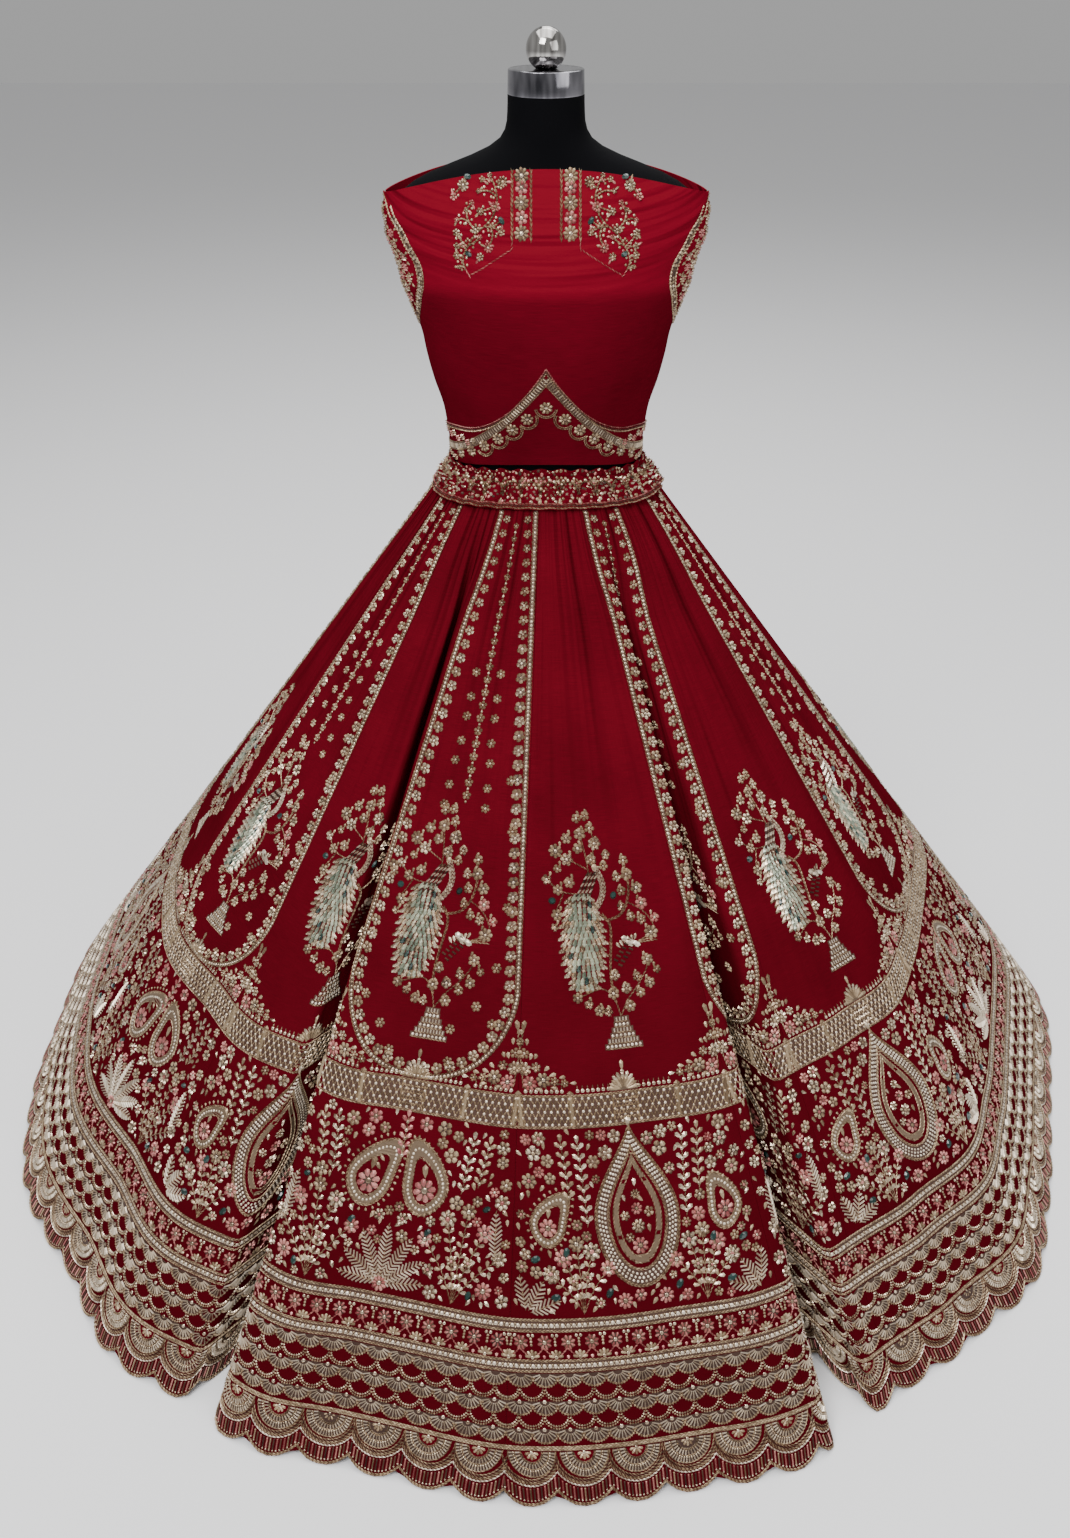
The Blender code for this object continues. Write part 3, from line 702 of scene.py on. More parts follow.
def lattice_band(work):
    top, bottom = -BAND_TOP * SLANT, -BAND_BOTTOM * SLANT
    middle = 0.5 * (BAND_TOP + BAND_BOTTOM)
    deep = top - bottom
    half = 0.5 * kali_width(middle)
    work.patch(level(middle), deep, DABKA, 0.016)
    for t, sign in ((BAND_TOP, -1), (BAND_BOTTOM, 1)):
        work.cord(level(t, 0, sign * 1.4 * MM), GOLD, 2, wide=1.6 * MM)
    net = 7.4 * MM
    for row in range(5):
        y = bottom + 4.6 * MM + row * (deep - 9.2 * MM) / 4
        x = np.arange(-half + net * (0.75 if row % 2 else 0.25), half - 0.1 * net, net)
        work.add(BEAD, x, y, 0, 3.6 * MM, 3.6 * MM, 2.2 * MM, np.where(np.arange(len(x)) % 3, SILVER, SEQUIN))
        if row < 4:
            step = (deep - 9.2 * MM) / 4
            for side in (-1, 1):
                turn = math.atan2(step, side * 0.5 * net)
                work.add(STITCH, x + side * 0.25 * net, y + 0.5 * step, turn, 8.4 * MM, 1.9 * MM, 1.2 * MM, GOLD)
    for f in (0.0, 0.25, 0.75, 1.0):
        x = float(spread_x(middle, f))
        x += 3.0 * MM * (1 if f == 0 else -1 if f == 1 else 0)
        y = 0.5 * (top + bottom)
        work.add(BUGLE, x, y, math.pi / 2, deep - 5 * MM, 4.6 * MM, 1.9 * MM, GOLD)
        for side in (-1, 1):
            work.cord([(x + side * 3.4 * MM, bottom + 2 * MM), (x + side * 3.4 * MM, top - 2 * MM)], GOLD, 1)
        work.add(STITCH, x, top + 1.4 * MM, math.pi / 2, 6.5 * MM, 8 * MM, 1.6 * MM, GOLD)
    x, y, turn = work.along(level(BAND_TOP, 6 * MM, 4.2 * MM), 6.0 * MM)
    keep = (np.abs(x) > 15 * MM) & (np.abs(np.abs(x) - 0.25 * 2 * half) > 4 * MM)
    work.add(BEAD, x[keep], y[keep], 0, 4.7 * MM, 4.7 * MM, 2.0 * MM, SEQUIN)
    work.add(STITCH, x[keep], y[keep] + 4.0 * MM, math.pi / 2, 4.4 * MM, 1.5 * MM, 1.2 * MM, GOLD)


def lotus_finial(work):
    """A lotus on the lattice band at the panel's middle, in its own two tiers."""
    y = -BAND_TOP * SLANT
    low = -BAND_BOTTOM * SLANT
    for x in (-14 * MM, 14 * MM):
        work.cord([(x, low + 2 * MM), (x, y - 2 * MM)], GOLD, 2)
    for up in (9, 17, 25):
        work.chain([(-12 * MM, low + up * MM), (12 * MM, low + up * MM)], 3.2 * MM, SEQUIN, 4.2 * MM)
        work.cord([(-13 * MM, low + (up + 4) * MM), (13 * MM, low + (up + 4) * MM)], GOLD, 1)
    work.add(HALF_DISC, 0, y + 1 * MM, math.pi, 33 * MM, 34 * MM, 1.0 * MM, ZARI)
    angle = np.radians(np.linspace(12, 168, 11))
    work.leaf(4 * MM * np.cos(angle), y + 2 * MM + 2 * MM * np.sin(angle), angle, 14.5 * MM, 4.6 * MM, GOLD)
    angle = np.radians(np.linspace(40, 140, 5))
    work.leaf(6 * MM * np.cos(angle), y + 8 * MM + 5 * MM * np.sin(angle), angle, 10 * MM, 4.6 * MM, SEQUIN)
    work.add(BEAD, 0, y + 22 * MM, 0, 5 * MM, 5 * MM, 2.0 * MM, SEQUIN)
    work.leaf(0, y + 23 * MM, math.pi / 2, 12 * MM, 5.2 * MM, GOLD)


def seam_triangle(work, side):
    """Half of the flower triangle that stands on the band at each seam."""
    seam = side * 0.5 * kali_width(0.575)
    y = -BAND_TOP * SLANT + 12 * MM

    def across(distance):
        return seam - side * distance * MM

    work.cord([(across(1.2), y - 4 * MM), (across(1.2), y + 60 * MM)], GOLD, 1)
    for distance, up, radius, petals, finish, heart in (
        (9, 1, 8.4, 8, ROSE, SEQUIN), (4, 17, 8.2, 8, SEQUIN, GOLD), (25, 5, 8.4, 7, GOLD, SEQUIN),
        (18, 19, 5.8, 6, SEQUIN, GOLD), (6, 34, 6.0, 5, GOLD, SEQUIN), (38, 3, 5.4, 6, SEQUIN, GOLD),
        (49, 1, 4.6, 6, GOLD, SEQUIN), (3, 47, 4.6, 5, SEQUIN, GOLD),
    ):
        work.flower(across(distance), y + up * MM, radius * MM, petals, finish, heart)
    for distance, up, turn, long in (
        (15, -4, 200, 9), (32, 9, 160, 9), (33, -3, 195, 8), (43, 7, 170, 8), (27, 15, 140, 8),
        (12, 27, 110, 8), (10, 43, 100, 8), (17, 28, 120, 7), (5, 54, 100, 7),
    ):
        turn = math.radians(turn if side > 0 else 180 - turn)
        work.leaf(across(distance), y + up * MM, turn, long * MM, 5 * MM, GOLD)
    work.leaf(across(1.6), y + 58 * MM, math.pi / 2, 13 * MM, 6.5 * MM, GOLD)
    work.leaf(across(55), y + 1 * MM, math.radians(180 if side > 0 else 0), 8 * MM, 4.5 * MM, SEQUIN)
    path = curve((across(2), y - 5 * MM), (across(20), y - 3 * MM), (across(34), y), (across(54), y + 1 * MM))
    work.cord(path, DABKA, 1)


# The wide field of the border has a generic garden design of our own: ogees and paisleys,
# flower stalks, feathered leaves and rosettes, in gold, rose, silver and green.
def feather(work, x, y, degrees, long, wide, finish=SILVER):
    """A leaf of slanted bugles, a little apart, on both sides of a corded rib."""
    turn = math.radians(degrees)
    along = np.array([math.cos(turn), math.sin(turn)])
    aside = np.array([-along[1], along[0]])
    start = np.array([x, y]) + along * 5 * MM
    work.cord([start, start + along * long], GOLD, 1, wide=1.4 * MM)
    count = max(4, int(long / (4.9 * MM)))
    share = (np.arange(count) + 0.9) / (count + 0.3)
    reach = wide * 0.5 * np.sin(math.pi * np.clip(share, 0.02, 0.96)) ** 0.6
    for side in (-1, 1):
        tilt = turn + side * math.radians(50)
        place = start[:, None] + along[:, None] * share * long * 0.94 + side * aside[:, None] * (0.56 * reach)
        work.add(BUGLE, place[0], place[1], tilt, reach * 1.25 + 1.2 * MM, 2.1 * MM, 1.8 * MM, finish)


def stalk(work, x, y, tall, finish=SEQUIN, lean=0.0, pairs=5):
    """An upright stalk with pairs of petals and a bud."""
    path = curve((x, y), (x + 0.3 * lean, y + 0.5 * tall), (x + lean, y + tall))
    work.cord(path, GOLD, 1, wide=1.2 * MM)
    px, py, turn = work.along(path, tall / pairs)
    for side in (-1, 1):
        work.leaf(px, py, turn + side * 0.85, 9.5 * MM, 5.6 * MM, finish)
    work.add(BEAD, px, py, 0, 4.4 * MM, 4.4 * MM, 2.0 * MM, SEQUIN)
    work.leaf(x + lean, y + tall, math.pi / 2, 10 * MM, 6 * MM, finish)


def paisley(work, x, y, size, flip=1, lean=0.0):
    """A paisley outlined in double cord, filled with sequins, with a flower at its heart."""
    t = np.linspace(0, 2 * math.pi, 49)
    px = np.cos(t) * (0.36 + 0.06 * np.sin(t)) + 0.30 * np.clip(np.sin(t), 0, 1) ** 2.4
    py = np.sin(t) * 0.42 + 0.30 * np.clip(np.sin(t), 0, 1) ** 2
    turn = math.radians(lean)
    qx = flip * (px * math.cos(turn) - py * math.sin(turn))
    qy = px * math.sin(turn) + py * math.cos(turn)
    outline = np.stack([qx, qy], -1)
    centre = np.array([x, y])
    work.ground(outline * size + centre, ZARI, 22, outline * size * 0.62 + centre)
    work.cord(outline * size + centre, GOLD, 2)
    px, py, _ = work.along(outline * size * 0.81 + centre, 4.6 * MM)
    work.add(BEAD, px, py, 0, 3.4 * MM, 3.4 * MM, 2.0 * MM, SILVER)
    work.cord(outline * size * 0.62 + centre, GOLD, 1)
    work.flower(x, y - 0.03 * size, 0.19 * size, 8, ROSE, SEQUIN)
    work.leaf(x + flip * 0.02 * size, y + 0.16 * size, math.radians(80 if flip > 0 else 100), 0.22 * size, 0.11 * size, GOLD)
    nodes, nodes_y, angle = work.along(outline * size * 1.10 + centre, 7.5 * MM)
    work.leaf(nodes, nodes_y, angle - math.pi / 2, 4.4 * MM, 3.4 * MM, GOLD)


def ogee(work, x, y, wide, tall):
    """An ogee cartouche: nested drops on gold ground with a beaded net, and flowers inside."""
    def outline(scale):
        share = 0.5 - 0.5 * np.cos(np.linspace(0, math.pi, 61))
        low = np.sqrt(np.clip(1 - (1 - share / 0.42) ** 2, 0, 1))
        high = np.cos(0.5 * math.pi * np.clip((share - 0.42) / 0.58, 0, 1)) ** 1.35
        half = 0.5 * wide * scale * np.where(share < 0.42, low, high)
        up = (share - 0.45) * tall * (0.25 + 0.75 * scale)
        right = np.stack([x + half, y + up], -1)
        return np.concatenate([right, np.stack([x - half, y + up], -1)[::-1]])
    work.ground(outline(1.0), DABKA, 44, outline(0.70))
    work.ground(outline(0.58), ZARI, 26, outline(0.46))
    work.cord(outline(1.0), GOLD, 2, wide=1.9 * MM, high=1.4 * MM)
    for i, scale in enumerate((0.925, 0.855, 0.785)):
        px, py, _ = work.along(outline(scale), 5.0 * MM, 0.5 * (i % 2))
        work.add(BEAD, px, py, 0, 3.3 * MM, 3.3 * MM, 2.0 * MM, SILVER)
    work.cord(outline(0.70), GOLD, 2)
    work.cord(outline(0.58), GOLD, 1)
    work.cord(outline(0.46), GOLD, 1)
    for up, radius, finish in ((-0.20, 9.4, ROSE), (-0.08, 8.0, SEQUIN), (0.03, 6.8, ROSE), (0.12, 5.6, SEQUIN)):
        work.flower(x, y + up * tall, radius * MM, 8, finish, GOLD)
    work.leaf(x, y + 0.17 * tall, math.pi / 2, 9 * MM, 5.5 * MM, SEQUIN)
    work.leaf(x, y + 0.54 * tall, math.pi / 2, 13 * MM, 7 * MM, SEQUIN)


def bush(work, x, y, tall, flip=1, seed=3):
    """A flowering spray: bowed stems from one foot with flowers, buds and leaves."""
    chance = np.random.default_rng(seed)
    for i, (bow, reach) in enumerate(((-0.42, 0.62), (-0.2, 0.88), (0.02, 1.0), (0.24, 0.80), (0.44, 0.55))):
        end = (x + flip * bow * tall, y + reach * tall)
        path = curve((x, y), (x + flip * bow * 0.35 * tall, y + 0.5 * reach * tall), end)
        work.cord(path, GOLD, 1, wide=1.3 * MM)
        work.flower(*end, (9.2 + 1.2 * (i % 2)) * MM, 8, (ROSE, SEQUIN, GOLD)[i % 3], (SEQUIN, ROSE)[i % 2], chance.random())
        px, py, turn = work.along(path, 11.0 * MM)
        for side in (-1, 1):
            work.leaf(px[1:], py[1:], turn[1:] + side * 0.9, 8.5 * MM, 5.0 * MM, GOLD if side > 0 else SEQUIN)
        if i % 2:
            work.flower(px[len(px) // 2], py[len(px) // 2], 6.2 * MM, 6, SEQUIN, ROSE, chance.random())


def field_of(work, plain):
    """The border's field on one panel, from the band's lower edge to the wide line."""
    low = -LINE_WIDE[0] * SLANT + 3 * MM
    if plain:
        ogee(work, 0, low + 106 * MM, 96 * MM, 178 * MM)
        for side in (-1, 1):
            stalk(work, side * 58 * MM, low + 96 * MM, 92 * MM, SEQUIN, side * 3 * MM, 8)
            stalk(work, side * 76 * MM, low + 124 * MM, 66 * MM, GOLD, side * 4 * MM, 6)
            paisley(work, side * 104 * MM, low + 98 * MM, 54 * MM, -side, side * 8)
            bush(work, side * 72 * MM, low + 2 * MM, 76 * MM, side, 5)
            work.flower(side * 24 * MM, low + 12 * MM, 9 * MM, 9, ROSE, SEQUIN)
            work.flower(side * 106 * MM, low + 46 * MM, 10 * MM, 9, SEQUIN, ROSE)
            work.stone(side * 86 * MM, low + 69 * MM, 12 * MM, 8 * MM, 1.2)
            work.stone(side * 122 * MM, low + 62 * MM, 12 * MM, 8 * MM, 0.4)
            work.stone(side * 41 * MM, low + 22 * MM, 12 * MM, 8 * MM, 1.0)
            work.stone(side * 103 * MM, low + 20 * MM, 12 * MM, 8.5 * MM, 0.2)
            for degrees in (84, 122, 160):
                turn = degrees if side > 0 else 180 - degrees
                feather(work, side * 138 * MM, low + 2 * MM, turn, 38 * MM, 15 * MM)
    else:
        for degrees, long in ((90, 64), (62, 60), (118, 60), (34, 54), (146, 54), (8, 48), (172, 48)):
            feather(work, 0, low + 8 * MM, degrees, long * MM, 14 * MM)
        work.flower(0, low + 8 * MM, 9.5 * MM, 9, ROSE, SEQUIN)
        for side in (-1, 1):
            paisley(work, side * 34 * MM, low + 122 * MM, 72 * MM, -side, side * 6)
            bush(work, side * 88 * MM, low + 2 * MM, 104 * MM, side, 7)
            stalk(work, side * 78 * MM, low + 124 * MM, 62 * MM, SEQUIN, side * 4 * MM, 6)
            stalk(work, side * 96 * MM, low + 134 * MM, 50 * MM, GOLD, side * 5 * MM, 5)
            work.flower(side * 122 * MM, low + 22 * MM, 10 * MM, 9, ROSE, SEQUIN)
            work.flower(side * 14 * MM, low + 84 * MM, 7 * MM, 7, SEQUIN, ROSE)
            work.stone(side * 46 * MM, low + 74 * MM, 11 * MM, 7.5 * MM, 0.9)
            work.stone(side * 106 * MM, low + 14 * MM, 11 * MM, 7.5 * MM, 1.5)
            work.stone(side * 110 * MM, low + 112 * MM, 10 * MM, 7 * MM, 0.5)
            feather(work, side * 130 * MM, low + 50 * MM, 90 + side * 8, 58 * MM, 14 * MM)
        stalk(work, 0, low + 150 * MM, 48 * MM, ROSE, 0.0, 5)
    work.fill_gaps(low + 2 * MM, -BAND_BOTTOM * SLANT - 6 * MM, lambda y: 0.5 * kali_width(-y / SLANT) - 5 * MM)


# Above the band each panel has a flowering tree on a stepped vase, with a peacock whose
# tail is set with green stones. Every other panel is framed as well by a chain and a row
# of flowers inside its seams, with a flower chain down its middle and scattered dots.
def tree(work, x, y):
    """A flowering tree about 265 mm tall, with its foot at y."""
    for step, (wide, up) in enumerate(((43, 3), (36, 9), (29, 15), (23, 21), (18, 27), (15, 33))):
        half = 0.5 * wide * MM
        line = [(x - half, y + up * MM), (x + half, y + up * MM)]
        work.patch(line, 6.4 * MM, DABKA, 9 * MM)
        work.cord([(px, py - 2.8 * MM) for px, py in line], GOLD, 1, wide=1.5 * MM)
        if step % 2:
            work.bars(line, 4.2 * MM, SILVER, 3.6 * MM, 1.7 * MM)
        else:
            px, py, _ = work.along(line, 4.6 * MM)
            work.add(BEAD, px, py, 0, 3.6 * MM, 3.6 * MM, 2.0 * MM, SILVER)
    for path, strands in (
        (((0, 36), (-4, 54), (-16, 70), (-32, 66), (-46, 60)), 1), (((0, 36), (10, 54), (22, 66), (34, 82), (38, 92)), 1),
        (((-4, 50), (-8, 78), (-4, 110), (0, 140), (-10, 152)), 2), (((-6, 144), (12, 148), (22, 162), (26, 184), (22, 204)), 2),
        (((22, 162), (34, 156), (44, 146), (50, 134)), 1), (((-20, 196), (-22, 222), (-26, 244)), 1),
        (((-22, 204), (-42, 216), (-52, 222)), 1), (((-30, 176), (-52, 178), (-66, 190)), 1),
        (((-52, 178), (-58, 166), (-64, 156)), 1), (((-18, 210), (-10, 228), (-12, 246)), 1),
    ):
        work.cord(curve(*[(x + a * MM, y + b * MM) for a, b in path]), GOLD, strands, wide=1.5 * MM, high=1.2 * MM)
    blooms = (
        (-48, 60, 6.2, 6), (-36, 52, 5.4, 5), (-24, 44, 6.4, 6), (-34, 70, 5.6, 5), (-14, 42, 5.2, 5), (12, 46, 6.8, 6),
        (-6, 62, 7.0, 6), (10, 66, 6.4, 5), (26, 60, 5.8, 6), (38, 70, 6.4, 6), (24, 78, 5.6, 5), (38, 96, 7.2, 6),
        (48, 84, 4.8, 5), (-2, 82, 6.2, 5), (46, 126, 8.4, 7), (52, 142, 5.6, 5), (36, 142, 6.0, 6), (38, 160, 7.2, 6),
        (24, 146, 5.6, 5), (14, 158, 5.2, 5), (16, 176, 5.6, 5), (34, 178, 7.0, 6), (12, 192, 5.6, 5), (24, 194, 7.2, 6),
        (22, 210, 5.8, 5), (-70, 194, 5.8, 5), (-58, 182, 6.2, 6), (-62, 154, 6.8, 6), (-66, 140, 4.8, 5),
        (-44, 190, 6.6, 6), (-56, 206, 5.0, 5), (-44, 216, 7.4, 6), (-56, 226, 8.2, 8), (-30, 228, 6.2, 5),
        (-16, 214, 6.6, 6), (-26, 244, 7.2, 6), (-42, 240, 6.4, 6), (-10, 232, 7.6, 7), (-14, 250, 5.8, 5),
        (-28, 262, 5.6, 5), (2, 218, 5.4, 5), (-2, 206, 5.4, 5), (-18, 264, 5.6, 5),
    )
    for i, (across, up, radius, petals) in enumerate(blooms):
        finish = ROSE if i in (15, 17) else (GOLD, SEQUIN, GOLD)[i % 3]
        work.flower(x + across * MM, y + up * MM, radius * MM, petals, finish, SEQUIN, 0.1 * across)
        for side in (-1, 1):
            tilt = 1.57 + 0.02 * across + side * 1.1
            work.leaf(x + (across + side * radius * 0.7) * MM, y + (up + radius * 0.6) * MM, tilt, 6.0 * MM, 3.6 * MM, GOLD)
    rows = 15
    for row in range(rows):
        share = row / (rows - 1)
        wide = (22 + 27 * math.sin(math.pi * (0.06 + 0.86 * share)) ** 0.8) * MM
        across = (np.arange(int(wide / (5.0 * MM))) + 0.25 + 0.5 * (row % 2)) / int(wide / (5.0 * MM)) - 0.5
        px = x - (33 + 4 * share) * MM + wide * across
        place = across
        py = y + (170 - 96 * share) * MM + 6 * MM * (1 - 4 * place**2) * (0.5 - share)
        number = np.arange(len(px))
        finish = np.where((number * 3 + row * 2) % 7 == 0, GREEN, SAGE)
        finish = np.where((np.abs(place) > 0.36) | ((number + 2 * row) % 5 == 0), SEQUIN, finish)
        work.add(PETAL, px, py, -math.pi / 2 + place * 1.2 - 0.15, 11.5 * MM, 5.8 * MM, 2.6 * MM, finish)
        ends = np.array([px[0] - 3.0 * MM, px[-1] + 3.0 * MM])
        work.add(PETAL, ends, py[[0, -1]] - 1.5 * MM, np.radians([-140, -40]), 9 * MM, 3.6 * MM, 1.6 * MM, SEQUIN)
    for row in range(9):
        share = row / 8
        px = x + (-32 + 16 * share + np.array([-8, -3, 2, 7]) * (1 - 0.25 * share)) * MM
        work.add(BUGLE, px, y + (168 + 30 * share) * MM, 0.9, 6.0 * MM, 2.2 * MM, 2.2 * MM, (DABKA, SILVER)[row % 2])
    neck = curve((x - 22 * MM, y + 154 * MM), (x - 8 * MM, y + 168 * MM), (x - 4 * MM, y + 186 * MM), (x - 12 * MM, y + 204 * MM))
    work.cord(neck, SILVER, 4, wide=1.9 * MM, high=1.8 * MM)
    work.add(BEAD, x - 13 * MM, y + 206 * MM, 0, 7 * MM, 7 * MM, 2.6 * MM, GOLD)
    work.leaf(x - 11 * MM, y + 206 * MM, math.radians(-10), 7 * MM, 2.6 * MM, SEQUIN)
    for across, up, long, wide in ((14, 122, 9, 7), (20, 117, 13, 9), (27, 115, 11, 7)):
        work.add(BEAD, x + across * MM, y + up * MM, -0.4, long * MM, wide * MM, 2.6 * MM, SILVER)
    for row in range(6):
        px = x + (4 + 3.6 * row + np.array([-3, 1.5])) * MM
        work.add(BUGLE, px, y + (96 + 4.2 * row + np.array([3, -3])) * MM, -0.5, 5.4 * MM, 2.2 * MM, 1.8 * MM, DABKA)
        work.leaf(x + (8 + 3.4 * row) * MM, y + (112 + 1.5 * row) * MM, 2.2 - 0.2 * row, 8 * MM, 4 * MM, SEQUIN)
    for tilt in (0.05, 0.22, 0.40):
        start = (x + 26 * MM, y + 116 * MM)
        work.cord([start, (start[0] + 26 * MM * math.cos(tilt), start[1] + 26 * MM * math.sin(tilt))], GOLD, 1, wide=1.6 * MM)
    work.stone(x - 66 * MM, y + 170 * MM, 9 * MM, 8 * MM, 0.3)
    work.stone(x + 6 * MM, y + 172 * MM, 9 * MM, 7.5 * MM, 1.1)


def frame_line(work):
    """The chain and flowers that follow the seams and round off above the band."""
    top = 0.035
    bottom = BAND_TOP - 4 * MM / SLANT
    turn_at = 0.515
    levels = np.linspace(top, turn_at, 40)
    inset = 5.0 * MM
    right = np.stack([0.5 * kali_width(levels) - inset, -levels * SLANT], -1)
    corner = right[-1]
    low = -bottom * SLANT
    angle = np.linspace(0, 0.5 * math.pi, 25)[1:]
    bowl = np.stack([corner[0] * np.cos(angle) ** 0.9, corner[1] + (low - corner[1]) * np.sin(angle)], -1)
    path = np.concatenate([right, bowl])
    for side in (-1, 1):
        line = path * np.array([side, 1.0])
        work.patch(line, 4.4 * MM, DABKA, 0.016)
        x, y, turn = work.along(line, 4.5 * MM)
        work.add(BEAD, x, y, turn, 3.9 * MM, 3.9 * MM, 2.2 * MM, SEQUIN)
        for aside in (-2.7, 2.7):
            x, y, turn = work.along(line, 4.8 * MM, 0.0, aside * MM)
            work.add(STITCH, x, y, turn + 0.2, 6.4 * MM, 1.3 * MM, 1.2 * MM, GOLD)
        x, y, turn = work.along(line, 16.6 * MM, 0.0, -side * 9.6 * MM)
        for i, (px, py, tilt) in enumerate(zip(x, y, turn)):
            if abs(px) > 5 * MM:
                radius = 6.8 * MM * min(1.0, 0.68 + abs(py) * 1.1)
                work.flower(px, py, radius, 5, (SEQUIN, GOLD)[i % 2], SEQUIN, tilt)


def middle_chain(work, last):
    """Small flowers and beads down the panel's middle."""
    y = np.arange(-0.05 * SLANT, -last * SLANT, -15.0 * MM)
    for py in y:
        radius = 5.2 * MM * min(1.0, 0.60 + abs(py) * 1.4)
        work.flower(0, py, radius, 5, GOLD, SEQUIN, 0.3)
        work.add(BEAD, 0, py - 7.5 * MM, 0, 3.2 * MM, 3.2 * MM, 1.8 * MM, SEQUIN)
    work.cord([(0, y[0]), (0, y[-1])], GOLD, 1, wide=1.2 * MM)


def dots(work):
    """Single flowers scattered about the tree."""
    for t, across in (
        (0.20, 0.27), (0.245, 0.27), (0.29, 0.30), (0.335, 0.32), (0.225, 0.27), (0.27, 0.27), (0.315, 0.31),
    ):
        for side in (-1, 1):
            work.flower(side * across * kali_width(t) * 0.5 * 1.02, -t * SLANT, 5.4 * MM, 6, GOLD, SEQUIN, t * 40)
    for x, t in ((-84, 0.475), (-78, 0.535), (-54, 0.560), (72, 0.490), (56, 0.530), (78, 0.545),
                 (-38, 0.585), (34, 0.588), (30, 0.556), (50, 0.305), (62, 0.355), (72, 0.430), (-72, 0.410)):
        work.flower(x * MM, -t * SLANT, 6.0 * MM, 6, GOLD, SEQUIN, t * 30)


TREE_FOOT = 0.569


def panel_work(framed):
    work = Work(2 if framed else 4)
    hem_border(work)
    field_of(work, not framed)
    lattice_band(work)
    lotus_finial(work)
    seam_triangle(work, -1)
    seam_triangle(work, 1)
    tree(work, 6 * MM, -TREE_FOOT * SLANT)
    if framed:
        frame_line(work)
        middle_chain(work, 0.325)
        dots(work)
    return work


# The finishes of the embroidery: drawn gold wire, cupped sequins, silk-lined rose beads,
# cut green and sage glass, dull dabka coil darkened further as painted shade, silver cord, and crimson padding.
def bright_work(name, dark, light, roughness, metallic, grain=900.0, **fixed):
    made, shader, start = finish_material(name, roughness, metallic, **fixed)
    tone = start.node("ShaderNodeAttribute", out=2, attribute_name="tone")
    spot = start.node("ShaderNodeTexCoord", out=3)
    mottle = start.node("ShaderNodeTexNoise", {"Vector": spot, "Scale": 35.0, "Detail": 2.0})
    wire = start.node("ShaderNodeTexNoise", {"Vector": spot, "Scale": grain, "Detail": 1.0})
    join((tone * 0.75 + mottle * 0.25 + wire * 0.25 - 0.15).clamped().mixed((*dark, 1), (*light, 1)), shader, "Base Color")
    join(roughness * (0.75 + 0.5 * mottle), shader, "Roughness")
    join(start.node("ShaderNodeBump", {"Strength": 0.4, "Distance": 0.0003, "Height": wire}), shader, "Normal")
    return made


finishes = [
    bright_work("Antique gold zari", (0.120, 0.072, 0.038), (0.51, 0.385, 0.245), 0.40, 0.62),
    bright_work("Gilt silver sequins", (0.17, 0.108, 0.066), (0.71, 0.59, 0.435), 0.22, 0.80, 300.0),
    bright_work("Rose beads", (0.19, 0.030, 0.034), (0.62, 0.28, 0.24), 0.30, 0.40),
    bright_work("Green glass", (0.002, 0.012, 0.010), (0.010, 0.040, 0.034), 0.14, 0.0, 60.0, Coat_Weight=0.3),
    bright_work("Sage glass", (0.050, 0.074, 0.050), (0.50, 0.52, 0.38), 0.24, 0.40, 120.0, Coat_Weight=0.3),
    # Painted shade: the dabka's colour is darker than the dull coil itself, for the shade in the gaps between the
    # raised pieces.
    bright_work("Dull dabka coil with painted shade", (0.022, 0.007, 0.005), (0.12, 0.058, 0.034), 0.55, 0.40),
    bright_work("Silver cord", (0.36, 0.28, 0.20), (0.84, 0.74, 0.60), 0.30, 0.60),
    bright_work("Crimson padding", (0.062, 0.0003, 0.0034), (0.113, 0.0005, 0.0064), 0.6, 0.0, Specular_IOR_Level=0.03),
    bright_work("Matt zari ground", (0.055, 0.031, 0.017), (0.27, 0.190, 0.120), 0.55, 0.45),
]


